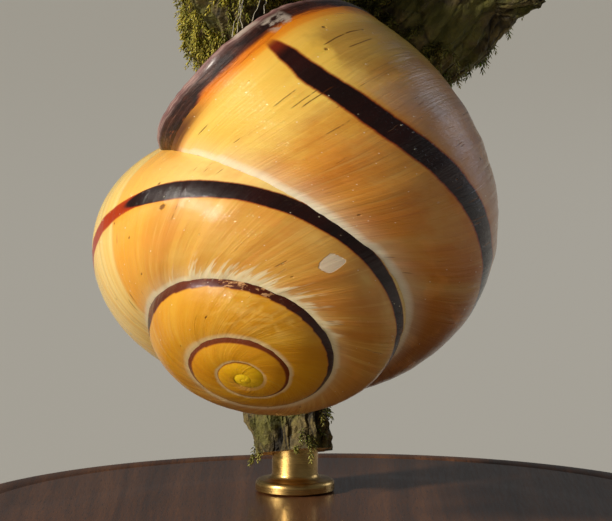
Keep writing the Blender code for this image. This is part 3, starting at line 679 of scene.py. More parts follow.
    # fine dark scratches, pits, a pale chip
    pit = m.voronoi(m.xyz(m.mul(growth, 0.6), m.mul(across, 0.6), 4.0), 1.0)
    col = m.mix(m.mul(m.step(pit, 0.045, 0.028), 0.7), col, srgb(110, 66, 22))
    col = m.mix(m.mul(m.step(spot, 1.15, 0.6), 0.85), col, srgb(104, 56, 16))
    scratch = m.mul(m.step(m.noise(m.xyz(m.mul(growth, 4.4), m.mul(across, 0.42), 41.0), 1.0, 2.0, 0.5), 0.67, 0.71),
                    m.step(m.noise(m.xyz(m.mul(growth, 0.35), m.mul(across, 0.5), 43.0), 1.0, 1.0), 0.50, 0.60))
    col = m.mix(m.mul(m.mul(scratch, m.step(turn, 3.2, 3.6)), 0.60), col, srgb(112, 66, 24))
    chip_on = m.step(m.add(chip, m.mul(m.sub(streak_hair, 0.5), 0.25)), 1.04, 0.94)
    col = m.mix(m.mul(chip_on, 0.85), col, srgb(230, 212, 186))

    # tiny beads of dew: their size here, their shape in the polish below; near-white dots in the colour are painted
    # glints on them
    drop = m.mul(m.voronoi(m.xyz(m.mul(growth, 1.7), m.mul(across, 1.7), 91.0), 1.0), 6.2)
    some = m.step(m.noise(m.xyz(m.mul(growth, 0.5), m.mul(across, 0.5), 95.0), 1.0, 2.0), 0.36, 0.48)
    drop2 = m.mul(m.voronoi(m.xyz(m.mul(growth, 2.9), m.mul(across, 2.9), 97.0), 1.0), 4.6)
    bunch = m.mul(m.mul(m.step(turn, 2.925, 2.945), m.step(turn, 3.015, 2.995)), m.step(lowsut, 1.7, 1.1))
    bunch = m.mx(bunch, m.mul(m.mul(m.step(gturn, 4.20, 4.24), m.step(gturn, 4.36, 4.30)), m.step(m.math("ABSOLUTE", bandd), 2.2, 1.0)))
    # painted glints: near-white dots mixed into the colour where the dew beads sit
    painted_glint_dots = m.mx(m.mul(m.mul(m.step(drop, 0.50, 0.30), some), m.mul(m.step(turn, 2.8, 3.2), 0.55)), m.mul(m.mul(m.step(drop2, 0.62, 0.40), bunch), 0.9))
    col = m.mix(painted_glint_dots, col, srgb(255, 244, 214))

    fine = m.noise(m.xyz(m.mul(growth, 5.0), m.mul(across, 5.0), 0.0), 1.0, 3.0, 0.6)
    ridges = m.add(m.add(m.mul(streak_fine, 0.8), m.mul(streak_hair, 0.30)), m.mul(scratch, -0.5))
    pits = m.mul(m.mx(m.step(pit, 0.065, 0.028), m.step(spot, 1.3, 0.6)), -1.2)
    height = m.add(m.add(ridges, pits), m.add(m.mul(fine, 0.14), m.mul(chip_on, -0.6)))
    normal = m.bump(height, 0.00006, 0.8)
    grit = m.step(m.noise(m.xyz(m.mul(growth, 7.0), m.mul(across, 7.0), 61.0), 1.0, 2.0, 0.6), 0.60, 0.72)
    coat_normal = m.bump(m.add(m.add(m.mul(ridges, 0.75), m.mul(fine, 0.25)), m.mul(grit, 0.35)), 0.00005, 0.8)
    rough = m.step(m.add(m.mul(streak_fine, 0.5), m.mul(fine, 0.5)), 0.3, 0.7, 0.30, 0.48)
    speck = m.mx(m.mul(m.math("SUBTRACT", 1.0, m.mul(drop, drop), clamp=True), some), m.mul(m.math("SUBTRACT", 1.0, m.mul(drop2, drop2), clamp=True), bunch))
    coat_normal = m.bump(m.add(m.add(m.add(m.mul(ridges, 2.0), m.mul(fine, 0.45)), m.mul(grit, 0.25)), m.mul(speck, 0.85)), 0.00006, 0.9)
    m.bsdf.inputs["Coat IOR"].default_value = 1.34
    return m.set(color=col, rough=rough, normal=normal, coat=0.65, coat_rough=0.03, coat_normal=coat_normal, sub=0.10,
                 sub_radius=(1.0, 0.42, 0.12), sub_scale=0.0006, spec=0.20)


shell_glaze = shell_material()
shell.data.materials.append(shell_glaze)


def nucleus_bulb():
    """The smooth bulb at the very start of the coil, with the faint curl of the first suture."""
    n, k = 40, 96
    q = np.linspace(0, pi * 0.60, n)[:, None]
    turn_ = np.linspace(0, 1, k, endpoint=False)[None, :]
    rho_, z_ = 0.68 * np.sin(q) + 0 * turn_, -0.300 + 0.285 * np.cos(q) + 0 * turn_
    curl = 0.05 + 0.34 * ((turn_ + 0.15) % 1.0)
    z_ = z_ - 0.020 * np.exp(-((rho_ - curl) / 0.028) ** 2) + 0.012 * smooth((curl - rho_) / 0.25)
    pts = coil_to_world(turn_ + 0 * q, rho_, z_)
    ob = mesh_object("shell_nucleus", pts.reshape(-1, 3), grid_faces(n, k, wrap_m=True, flip=True))
    shape = rho_.shape
    away = np.full(shape, 50.0)
    for key, val in (("turn", 0.02 + 0 * rho_), ("growth", turn_ * 1.4 + 0 * rho_), ("across", rho_), ("lipgap", away), ("upsut", away), ("lowsut", away),
                     ("bandd", away), ("phi", 0 * rho_), ("spot", away), ("chip", away), ("gturn", 0 * rho_)):
        add_attribute(ob, key, val)
    uv = np.stack([0.94 + 0.04 * rho_ / 0.68 * np.cos(2 * pi * turn_), 0.005 + 0.0025 * (1 + rho_ / 0.68 * np.sin(2 * pi * turn_))], -1).reshape(-1, 2)
    set_uv(ob, uv[loop_vertices(ob)])
    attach(ob, "root")
    ob.data.materials.append(shell_glaze)
    return ob


nucleus_bulb()

# ================================================================== the lip
LIP_PROFILE = [(1.75, -0.12), (1.52, -0.05), (1.34, 0.0), (1.16, 0.03), (0.96, 0.06), (0.74, 0.085), (0.52, 0.10), (0.30, 0.095), (0.14, 0.05),
               (0.04, -0.02), (-0.02, -0.14), (-0.05, -0.28), (-0.03, -0.44), (0.04, -0.60), (0.18, -0.76), (0.38, -0.90), (0.66, -1.00), (1.00, -1.05),
               (1.40, -1.02), (1.80, -0.94), (2.30, -0.88), (3.20, -0.86), (3.25, -0.60), (2.6, -0.40)]


def lip_mesh():
    n, prof = (520), np.array(LIP_PROFILE)
    # finer profile
    q = np.linspace(0, 1, len(prof))
    qq = np.linspace(0, 1, 56)
    al, ou = spline(q, prof[:, 0])(qq), spline(q, prof[:, 1])(qq)
    sh = np.linspace(0, 1, n)
    ph = (LIP_FROM + 0.12) + (LIP_TO - LIP_FROM - 0.40) * sh
    ends = smooth(np.minimum(sh / 0.03, (1 - sh) / 0.09))
    PHL, AL = np.meshgrid(ph, al, indexing="ij")
    OU = np.broadcast_to(ou[None, :], AL.shape)
    e = ends[:, None]
    # growth streaks and small chips on the rim
    run_mm = ph[:, None] * 6.3
    rough_edge = 0.055 * vnoise(st(run_mm * 1.1, AL * 0.3, 0 * AL), 11) + 0.03 * vnoise(st(run_mm * 3.7, AL * 0.5, 0 * AL), 12)
    swell = 0.035 * vnoise(st(run_mm * 0.35, AL * 2.2, 0 * AL + 4), 13) + 0.014 * vnoise(st(run_mm * 0.8, AL * 7.0, 0 * AL + 4), 14)
    front = np.exp(-((AL - 0.2) / 0.5) ** 2)
    along = (AL * (0.55 + 0.45 * e) + rough_edge * front)
    out = (OU + 0.12) * (0.25 + 0.75 * e) - 0.12 - 0.10 * (1 - e) + swell * (OU > -0.5)
    further = 0.40 * smooth((PHL - 0.55) / 0.95)            # the lip runs a little further forward where it meets the whorl before
    TT = T_LIP - lip_lag(PHL) - (along - further) / LIPM
    pts = shell_point(TT, PHL, out, 0.4)
    faces = grid_faces(n, len(al))
    ob = mesh_object("shell_mouth_lip", pts.reshape(-1, 3), faces)
    add_attribute(ob, "along", AL)
    add_attribute(ob, "out", OU)
    add_attribute(ob, "run", np.broadcast_to(run_mm, AL.shape))
    lv = loop_vertices(ob)
    set_uv(ob, np.stack([0.01 + 0.98 * np.broadcast_to(sh[:, None], AL.shape).ravel()[lv], 0.02 + 0.3 * np.broadcast_to(qq[None, :], AL.shape).ravel()[lv]], -1))
    return ob


lip = lip_mesh()
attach(lip, "root")
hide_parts("shell_lip")


def lip_material():
    m = Mat("lip_brown")
    along, out, run_ = m.attr("along"), m.attr("out"), m.attr("run")
    fibre = m.noise(m.xyz(m.mul(run_, 0.6), m.mul(along, 7.0), 0.0), 1.0, 4.0, 0.65)
    patch = m.noise(m.xyz(m.mul(run_, 0.9), m.mul(along, 1.8), 5.0), 1.0, 4.0, 0.6)
    grain = m.noise(m.xyz(m.mul(run_, 7.0), m.mul(along, 9.0), 9.0), 1.0, 3.0, 0.6)
    dark = m.mix(m.step(patch, 0.38, 0.66), srgb(34, 12, 9), srgb(66, 28, 16))
    worn = m.mix(m.step(fibre, 0.42, 0.66), srgb(118, 82, 80), srgb(178, 146, 136))
    rim = m.mul(m.step(m.add(along, m.mul(m.sub(patch, 0.5), 0.5)), 0.60, 0.16), m.step(out, -0.85, -0.2))
    col = m.mix(rim, dark, worn)
    col = m.mix(m.mul(m.mul(m.step(fibre, 0.54, 0.66), m.step(patch, 0.40, 0.60)), 0.55), col, srgb(128, 88, 72))
    rust = m.mul(m.step(m.noise(m.xyz(m.mul(run_, 1.6), m.mul(along, 3.0), 15.0), 1.0, 3.0, 0.6), 0.60, 0.66), m.step(along, 0.5, 0.9))
    col = m.mix(m.mul(rust, 0.45), col, srgb(160, 80, 30))
    back = m.sub(m.add(along, m.mul(m.sub(fibre, 0.5), 0.35)), m.mul(m.step(run_, 5.7, 8.2), 0.95))
    col = m.mix(m.step(back, 0.92, 1.12), col, srgb(122, 52, 14))
    col = m.mix(m.step(back, 1.02, 1.26), col, srgb(236, 128, 6))
    film = m.mul(m.mul(m.step(run_, 0.45, 0.80), m.step(run_, 2.1, 1.6)), m.mul(m.step(along, 0.35, 0.60), m.step(along, 1.50, 1.20)))
    film = m.mx(m.mul(film, m.step(patch, 0.44, 0.54)), m.mul(m.mul(m.mul(m.step(run_, 1.5, 1.8), m.step(run_, 3.2, 2.7)), m.step(along, 0.42, 0.20)), m.step(patch, 0.40, 0.52)))
    col = m.mix(m.mul(film, 0.75), col, m.mix(fibre, srgb(168, 150, 138), srgb(222, 208, 190)))
    inside = m.step(out, -0.70, -0.98)
    col = m.mix(inside, col, srgb(84, 42, 34))
    normal = m.bump(m.add(m.mul(fibre, 1.0), m.mul(grain, 0.35)), 0.00008, 0.8)
    return m.set(color=col, rough=m.step(grain, 0.3, 0.7, 0.38, 0.62), normal=normal, coat=0.25, coat_rough=0.22, spec=0.35)


lip.data.materials.append(lip_material())

# ================================================================== plane of the mouth
_ph = np.linspace(LIP_FROM, LIP_TO, 60)
lip_line = shell_point(T_LIP - lip_lag(_ph), _ph, 0.0, 1.0)
mouth_middle = lip_line.mean(axis=0)
mouth_out = np.linalg.svd(lip_line - mouth_middle)[2][2]
if mouth_out[2] < 0:
    mouth_out = -mouth_out
mouth_long = lip_line[0] - lip_line[len(lip_line) // 2]
mouth_long = mouth_long - mouth_out * mouth_long.dot(mouth_out)
mouth_long /= np.linalg.norm(mouth_long)
mouth_wide = np.cross(mouth_out, mouth_long)


def at_mouth(a, b, c):
    a, b, c = np.asarray(a, float)[..., None], np.asarray(b, float)[..., None], np.asarray(c, float)[..., None]
    return mouth_middle + (mouth_long * a + mouth_wide * b + mouth_out * c) * MM


# ================================================================== columella and closed umbilicus
def callus():
    """The reflected end of the lip spreads over the middle of the base and closes it."""
    n, m_ = 64, 96
    tip = axis_point(float(section(T_LIP - 0.5, -2.75, 0, 0)[1]) + 0.0)
    e3 = -AXIS_DIR
    lip_end = shell_point(T_LIP - lip_lag(LIP_TO - 0.2), LIP_TO - 0.2, 0.0, 0.4)
    e1 = lip_end - tip
    e1 = e1 - e3 * e1.dot(e3)
    e1 /= np.linalg.norm(e1)
    e2 = np.cross(e3, e1)
    a = np.linspace(0, 2 * pi, m_, endpoint=False)
    pts = []
    for i in range(n):
        q = -pi / 2 + pi * (i + 0.5) / n
        c, s_ = np.abs(cos(q)) ** 0.8, sin(q)
        rad1 = 2.5 + 0.5 * np.cos(a) + 0.15 * np.cos(3 * a)
        x = rad1 * c * np.cos(a) + 0.7
        y = (1.95 + 0.2 * np.cos(2 * a)) * c * np.sin(a)
        h = s_ * 0.9 - 0.10 * (x * x + y * y) + 0.15 * np.cos(a) * c
        pts.append(tip[None, :] + (e1[None, :] * x[:, None] + e2[None, :] * y[:, None] + e3[None, :] * h[:, None]) * MM)
    pts = np.array(pts)
    ob = mesh_object("shell_navel_callus", pts.reshape(-1, 3), grid_faces(n, m_, wrap_m=True))
    lv_ = loop_vertices(ob)
    uu, vv = np.meshgrid(np.linspace(0.02, 0.98, n), np.linspace(0.02, 0.98, m_), indexing="ij")
    set_uv(ob, np.stack([vv.ravel()[lv_], uu.ravel()[lv_]], -1))
    return ob


navel = callus()
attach(navel, "root")


def callus_material():
    m = Mat("callus_glaze")
    p = m.scaled(m.position(), 1000.0)
    n1 = m.noise(p, 0.7, 4.0, 0.6)
    n2 = m.noise(p, 5.0, 3.0, 0.6)
    col = m.ramp(n1, [(0.30, srgb(108, 60, 40)), (0.50, srgb(150, 92, 56)), (0.70, srgb(208, 164, 118))])
    return m.set(color=col, rough=0.35, normal=m.bump(m.add(n1, m.mul(n2, 0.25)), 0.00012, 0.7), coat=0.5, coat_rough=0.1)


navel.data.materials.append(callus_material())

# ================================================================== the drawn-in animal: one skin from the mantle collar to the foot on the bark
def outline_of_mouth(n):
    """Closed outline in the mouth's plane (mm): along the lip's inner side, then back along the whorl before."""
    ph = np.linspace(LIP_FROM, LIP_TO, 120)
    pts = shell_point(T_LIP - lip_lag(ph) - 0.8 / LIPM, ph, -0.75, 1.0) - mouth_middle
    ln, wd = pts @ mouth_long / MM, pts @ mouth_wide / MM
    a, b = np.array([ln[-1], wd[-1]]), np.array([ln[0], wd[0]])
    inward = np.array([ln.mean(), wd.mean()]) - (a + b) / 2
    inward /= np.linalg.norm(inward)
    k = np.linspace(0, 1, 60)[1:-1, None]
    back = a + (b - a) * k + inward * (0.6 * np.sin(pi * k))
    loop = np.concatenate([np.stack([ln, wd], -1), back])
    seg = np.linalg.norm(np.diff(np.vstack([loop, loop[:1]]), axis=0), axis=1)
    cum = np.concatenate([[0], np.cumsum(seg)])
    at = np.linspace(0, cum[-1], n, endpoint=False)
    closed = np.vstack([loop, loop[:1]])
    return np.stack([np.interp(at, cum, closed[:, 0]), np.interp(at, cum, closed[:, 1])], -1)


def animal_skin():
    n_r, n_a = ((170, 380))
    loop = outline_of_mouth(n_a)
    centre = loop.mean(axis=0)
    foot_long = np.array([0.645, 0.763])
    foot_wide = np.array([0.763, -0.645])
    foot_mid = np.array([0.9, -0.5])
    r = np.linspace(1, 0, n_r) ** 0.8
    X = centre[None, None, :] + (loop - centre)[None, :, :] * r[:, None, None]
    d = X - foot_mid
    fa, fb = d @ foot_long / 4.3, d @ foot_wide / 3.2
    foot = np.sqrt(fa ** 2 + fb ** 2)
    h = -2.1 + 0.0 * foot
    # thick rolled mantle edge just inside the lip
    edge = (1 - r)[:, None]
    h = h + 0.75 * np.exp(-((edge - 0.10) / 0.075) ** 2)
    # folded foot that presses on the bark
    dome = 2.15 * smooth((1.12 - foot) / 0.42)
    h = np.maximum(h, -2.1 + dome) + 0.25 * np.exp(-((foot - 1.0) / 0.12) ** 2)
    # folds and the small bumps of the skin
    folds = 0.16 * np.sin(9 * foot + 2.2 * vnoise(st(X[..., 0] * 0.5, X[..., 1] * 0.5, 0 * foot), 51)) * smooth((foot - 0.35) / 0.4)
    warts = 0.10 * vnoise(st(X[..., 0] * 3.4, X[..., 1] * 3.4, 0 * foot), 52) + 0.05 * vnoise(st(X[..., 0] * 7, X[..., 1] * 7, 0 * foot + 3), 53)
    h = h + (folds + warts) * smooth((1 - r)[:, None] / 0.06)
    h = np.minimum(h, 0.24)
    # breathing hole in the mantle edge near the suture
    hole = np.array([4.6, 2.6])
    dh = np.linalg.norm(X - hole, axis=-1)
    h = h - 0.9 * smooth((0.62 - dh) / 0.4) + 0.16 * np.exp(-((dh - 0.75) / 0.18) ** 2)
    front = at_mouth(X[..., 0], X[..., 1], h)
    # the back of the skin, deep in the shell
    depth = np.linspace(-2.1, -5.5, 14)
    back = np.stack([at_mouth(centre[0] + (loop[:, 0] - centre[0]) * (1 - 0.04 * i), centre[1] + (loop[:, 1] - centre[1]) * (1 - 0.04 * i), dd + 0 * loop[:, 0])
                     for i, dd in enumerate(depth)])
    rings = np.concatenate([back[::-1], front])
    n = len(rings)
    faces = grid_faces(n, n_a, wrap_m=True)
    ob = mesh_object("animal_skin", rings.reshape(-1, 3), faces)
    uu = np.linspace(0, 1, n)[:, None]
    ang = np.linspace(0, 2 * pi, n_a, endpoint=False)[None, :]
    U, V = 0.5 + 0.48 * (1 - uu) * np.cos(ang), 0.5 + 0.48 * (1 - uu) * np.sin(ang)
    lv_ = loop_vertices(ob)
    set_uv(ob, np.stack([U.ravel()[lv_], V.ravel()[lv_]], -1))
    add_attribute(ob, "foot", np.concatenate([np.full(back.shape[:2], 2.0), foot]))
    return ob


skin = animal_skin()
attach(skin, "root")
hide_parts("body_mantle_collar", "body_foot")


def skin_material():
    m = Mat("snail_skin")
    p = m.scaled(m.position(), 1000.0)
    foot = m.attr("foot")
    cell = m.voronoi(p, 2.6, "DISTANCE_TO_EDGE")
    small = m.voronoi(p, 6.5, "DISTANCE_TO_EDGE")
    n1 = m.noise(p, 1.2, 4.0, 0.6)
    grey = m.mix(m.step(n1, 0.35, 0.65), srgb(132, 116, 92), srgb(96, 86, 74))
    pale = srgb(176, 156, 122)
    col = m.mix(m.step(foot, 1.15, 0.75), pale, grey)
    col = m.mix(m.mul(m.step(cell, 0.12, 0.02), 0.75), col, srgb(62, 54, 46))
    col = m.mix(m.mul(m.step(small, 0.16, 0.03), 0.35), col, srgb(80, 70, 58))
    h = m.add(m.step(cell, 0.0, 0.25), m.mul(m.step(small, 0.0, 0.3), 0.4))
    return m.set(color=col, rough=0.34, normal=m.bump(h, 0.00012, 0.8), coat=0.6, coat_rough=0.12, sub=0.25, sub_radius=(1.0, 0.5, 0.3), sub_scale=0.0009)


skin.data.materials.append(skin_material())

# ================================================================== the branch
STEM = [(-0.6, -10.4, -19.2), (-0.9, -4.0, -19.7), (-0.9, 3.0, -18.9), (-1.5, 9.3, -14.9), (-2.0, 13.1, -8.0), (-2.5, 15.0, -2.7), (-2.9, 18.0, 0.5)]
LIMB = [(-1.2, 9.0, -15.6), (3.6, 10.9, -15.6), (7.2, 13.9, -14.6), (9.2, 17.0, -13.6)]
SPUR = [(8.4, 14.6, -13.4), (10.6, 14.2, -12.8), (12.2, 14.2, -12.4)]
stem_radius = spline([0, 0.18, 0.38, 0.6, 0.8, 1.0], [2.1, 2.3, 2.8, 3.55, 3.4, 3.1])
limb_radius = spline([0, 0.35, 0.7, 1.0], [3.4, 3.5, 3.5, 3.2])
spur_radius = spline([0, 0.25, 0.5, 0.75, 1.0], [1.9, 1.6, 1.3, 1.1, 0.9])


def knots(seed):
    return lambda s, q: 1 + 0.07 * sin(2 * q + 5 * s + seed) + 0.05 * sin(3 * q - 9 * s + 2 * seed) + 0.05 * sin(11 * s + seed)


def route(points, count, longer=(0.0, 0.0)):
    p = np.array(points, float)
    s_ = np.linspace(0, 1, len(p))
    fs = [spline(s_, p[:, k]) for k in range(3)]
    u_ = np.linspace(0, 1, count)
    line = np.array([[f(v_) for f in fs] for v_ in u_])
    line = to_world(line)
    if longer[0]:
        d = line[0] - line[1]
        line = np.vstack([line[0] + d / np.linalg.norm(d) * longer[0] * MM, line])
        u_ = np.concatenate([[0], u_])
    if longer[1]:
        d = line[-1] - line[-2]
        line = np.vstack([line, line[-1] + d / np.linalg.norm(d) * longer[1] * MM])
        u_ = np.concatenate([u_, [1]])
    return line, u_


def tube(line, u_, radius, sides, wobble):
    pts = [Vector(p) for p in line]
    n = len(pts)
    side, rings = None, []
    for i, p in enumerate(pts):
        d = (pts[min(i + 1, n - 1)] - pts[max(i - 1, 0)]).normalized()
        if side is None:
            side = d.orthogonal().normalized()
        side = (side - d * side.dot(d)).normalized()
        other = d.cross(side)
        r_ = float(radius(u_[i]))
        rings.append([np.array(p + (side * cos(q) + other * sin(q)) * r_ * wobble(u_[i], q) * MM) for q in (2 * pi * j / sides for j in range(sides))])
    rings = np.array(rings)
    verts = np.concatenate([rings.reshape(-1, 3), [line[0]], [line[-1]]])
    faces = [tuple(f) for f in grid_faces(n, sides, wrap_m=True)]
    a, b = n * sides, n * sides + 1
    faces += [(a, (j + 1) % sides, j) for j in range(sides)]
    faces += [(b, (n - 1) * sides + j, (n - 1) * sides + (j + 1) % sides) for j in range(sides)]
    return verts, faces


def bark_body():
    bm = bmesh.new()
    for pts, rad, wob, longer in ((STEM, stem_radius, knots(0.4), (1.6, 1.6)), (LIMB, limb_radius, knots(1.7), (0, 1.6)), (SPUR, spur_radius, lambda s_, q: 1.0, (0, 0.3))):
        line, u_ = route(pts, 60, longer)
        verts, faces_ = tube(line, u_, rad, 48, wob)
        vs = [bm.verts.new(v_) for v_ in verts]
        for f in faces_:
            bm.faces.new([vs[i] for i in f])
    bmesh.ops.recalc_face_normals(bm, faces=bm.faces)
    mesh = bpy.data.meshes.new("bark")
    bm.to_mesh(mesh)
    bm.free()
    ob = bpy.data.objects.new("branch_bark", mesh)
    bpy.context.scene.collection.objects.link(ob)
    rem = ob.modifiers.new("r", "REMESH")
    rem.mode, rem.voxel_size = "VOXEL", (0.00017)
    sm = ob.modifiers.new("s", "SMOOTH")
    sm.factor, sm.iterations = 0.5, (18)
    graph = bpy.context.evaluated_depsgraph_get()
    graph.update()
    done = bpy.data.meshes.new_from_object(ob.evaluated_get(graph))
    ob.modifiers.clear()
    ob.data = done
    return ob


bark = bark_body()
stem_line, stem_u = route(STEM, 240)
limb_line, limb_u = route(LIMB, 120)
spur_line, spur_u = route(SPUR, 40)


def on_branch(c):
    """For points c (metres): which line is nearest, share along it, mm along it, and the angle round it."""
    best = None
    for k, line in enumerate((stem_line, limb_line, spur_line)):
        d2 = np.full(len(c), 1e9)
        idx = np.zeros(len(c), int)
        for a in range(0, len(c), 20000):
            dd = ((c[a:a + 20000, None, :] - line[None, :, :]) ** 2).sum(-1)
            idx[a:a + 20000] = dd.argmin(1)
            d2[a:a + 20000] = dd.min(1)
        tang = np.gradient(line, axis=0)
        tang /= np.linalg.norm(tang, axis=1)[:, None]
        ref = np.array([1.0, 0.0, 0.0]) if k == 0 else np.array([0.0, 1.0, 0.0])
        s1 = ref[None, :] - tang * (tang @ ref)[:, None]
        s1 /= np.linalg.norm(s1, axis=1)[:, None]
        s2 = np.cross(tang, s1)
        dv = c - line[idx]
        ang = np.arctan2((dv * s2[idx]).sum(1), (dv * s1[idx]).sum(1))
        arc = np.concatenate([[0], np.cumsum(np.linalg.norm(np.diff(line, axis=0), axis=1))]) / MM
        rad = (stem_radius, limb_radius, spur_radius)[k](np.linspace(0, 1, len(line)))[idx]
        score = np.sqrt(d2) / MM - rad
        rec = (score, np.full(len(c), k), idx / (len(line) - 1.0), arc[idx] + 40.0 * k, ang, np.sqrt(d2) / MM)
        if best is None:
            best = rec
        else:
            take = rec[0] < best[0]
            best = tuple(np.where(take, x, y) for x, y in zip(rec, best))
    return best


def bark_relief(c, nrm):
    """Height of the bark's scales and cracks, mm."""
    _, k, s_, arc, ang, dist = on_branch(c)
    round_mm = ang * 3.4
    p1 = st(np.cos(ang) * 2.2 + k * 7, np.sin(ang) * 2.2, arc * 0.20)
    ridge = 1 - np.abs(fbm(p1 * 1.5, 4, 61)) * 3.2
    plate = fbm(st(np.cos(ang) * 3.4, np.sin(ang) * 3.4 + k * 5, arc * 0.45), 4, 71)
    fine = fbm(c / MM * 2.4, 3, 81)
    lump = fbm(c / MM * 0.35, 2, 91)
    return 0.30 * np.clip(ridge, -0.6, 1) + 0.32 * plate + 0.10 * fine + 0.40 * lump - 0.10


c = coords(bark)
nrm = normals(bark)
relief = bark_relief(c, nrm)
c2 = c + nrm * relief[:, None] * MM


# the hollow where the shell's mouth sits against the bark
def contact_hull():
    pts = [shell_point(t, ph, 0.0, 1.0) for t in np.linspace(T_LIP - 1.4, T_LIP - 0.15, 26) for ph in np.linspace(-2.4, 2.0, 14)]
    pts += list(lip_line) + list(shell_point(T_LIP - lip_lag(_ph), _ph, 0.15, 1.0))
    for al in (1.0, 4.0, 8.0):
        q = np.linspace(LIP_FROM, -2.2, 30)
        pts += list(shell_point(T_LIP - lip_lag(q) - al / LIPM, q, 0.12, 1.0))
    bm = bmesh.new()
    dirs = [Vector((a, b, c_)).normalized() for a in (-1, 0, 1) for b in (-1, 0, 1) for c_ in (-1, 0, 1) if (a, b, c_) != (0, 0, 0)]
    for p in pts:
        for d in dirs:
            bm.verts.new(Vector(p) + d * 0.22 * MM)
    bmesh.ops.convex_hull(bm, input=bm.verts)
    bmesh.ops.delete(bm, geom=[v for v in bm.verts if not v.link_faces], context="VERTS")
    bmesh.ops.recalc_face_normals(bm, faces=bm.faces)
    tree = BVHTree.FromBMesh(bm)
    bm.free()
    return tree


hull = contact_hull()
pushed = np.zeros(len(c2))
for i, p in enumerate(c2):
    loc, nr, _, dist = hull.find_nearest(Vector(p), 0.004)
    if loc is not None and (Vector(p) - loc).dot(nr) < 0:
        c2[i] = np.array(loc + nr * 0.00002)
        pushed[i] = 1
set_coords(bark, c2)
_, on_k, on_s, on_arc, on_ang, on_dist = on_branch(c2)


def trim(ob, line, end, extra_material):
    """Saw the branch off square at one end of `line`."""
    a, b = (line[0], line[3]) if end == 0 else (line[-1], line[-4])
    no = Vector(a - b).normalized()
    bm = bmesh.new()
    bm.from_mesh(ob.data)
    near = [f for f in bm.faces if (f.calc_center_median() - Vector(a)).length < 0.0085]
    geom = near + list({e for f in near for e in f.edges}) + list({v for f in near for v in f.verts})
    out = bmesh.ops.bisect_plane(bm, geom=geom, plane_co=Vector(a), plane_no=no, clear_outer=True)
    edges = [e for e in out["geom_cut"] if isinstance(e, bmesh.types.BMEdge)]
    made = bmesh.ops.holes_fill(bm, edges=edges, sides=0)
    new = made["faces"]
    for f in new:
        f.material_index = extra_material
        f.smooth = False
    bm.to_mesh(ob.data)
    bm.free()
    return len(new)


print("cut ends:", trim(bark, stem_line, 0, 1), trim(bark, stem_line, 1, 1), trim(bark, limb_line, 1, 1))
cb = coords(bark)
_, on_k, on_s, on_arc, on_ang, on_dist = on_branch(cb)
add_attribute(bark, "arc", on_arc)
add_attribute(bark, "round_x", np.cos(on_ang))
add_attribute(bark, "round_y", np.sin(on_ang))
add_attribute(bark, "relief", bark_relief(cb, None))
add_attribute(bark, "pith", on_dist)
lv = loop_vertices(bark)
starts = np.empty(len(bark.data.polygons), np.int32)
totals = np.empty(len(bark.data.polygons), np.int32)
bark.data.polygons.foreach_get("loop_start", starts)
bark.data.polygons.foreach_get("loop_total", totals)
first = lv[starts].repeat(totals)
al, an = on_ang[lv], on_ang[first]
al = an + wrap(al - an)
kk = on_k[first]
col_u = np.array([0.01, 0.56, 0.88])[kk]
col_w = np.array([0.50, 0.28, 0.10])[kk]
arc_len = np.array([45.0, 20.0, 8.0])[kk]
set_uv(bark, np.stack([col_u + col_w * (al + 2 * pi) / (4 * pi), 0.01 + 0.98 * np.clip((on_arc[lv] - 40.0 * kk) / arc_len, 0, 1)], -1))
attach(bark, "root")
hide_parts("perch_branch", "perch_side_limb")


def bark_material():
    m = Mat("branch_bark")
    p = m.scaled(m.position(), 1000.0)
    relief_, arc = m.attr("relief"), m.attr("arc")
    vec = m.xyz(m.mul(m.attr("round_x"), 3.4), m.mul(m.attr("round_y"), 3.4), m.mul(arc, 0.45))
    n1 = m.noise(vec, 0.9, 5.0, 0.65)
    n2 = m.noise(p, 3.2, 5.0, 0.65)
    n3 = m.noise(p, 0.45, 3.0, 0.55)
    crack = m.voronoi(vec, 0.9, "DISTANCE_TO_EDGE")
    col = m.ramp(m.add(m.mul(n1, 0.6), m.mul(n2, 0.4)), [(0.30, srgb(44, 36, 21)), (0.48, srgb(92, 79, 45)), (0.62, srgb(130, 113, 68)), (0.78, srgb(164, 146, 98))])
    col = m.mix(m.step(relief_, 0.02, -0.30), col, srgb(22, 17, 10))
    col = m.mix(m.mul(m.step(crack, 0.06, 0.0), 0.8), col, srgb(24, 18, 11))
    # thin green algae and lichen film
    film = m.step(m.add(n3, m.mul(n2, 0.25)), 0.58, 0.76)
    col = m.mix(m.mul(film, 0.60), col, m.mix(n2, srgb(76, 80, 28), srgb(124, 122, 50)))
    lich = m.mul(m.step(m.noise(m.offset(p, (31.0, 7.0, 3.0)), 0.9, 4.0, 0.6), 0.66, 0.72), m.step(n2, 0.40, 0.60))
    col = m.mix(m.mul(lich, 0.85), col, srgb(150, 158, 128))
    h = m.add(m.add(n2, m.mul(n1, 0.6)), m.mul(m.step(crack, 0.10, 0.0), -0.6))
    return m.set(color=col, rough=m.step(n2, 0.3, 0.7, 0.55, 0.92), normal=m.bump(h, 0.00022, 0.9), spec=0.4)


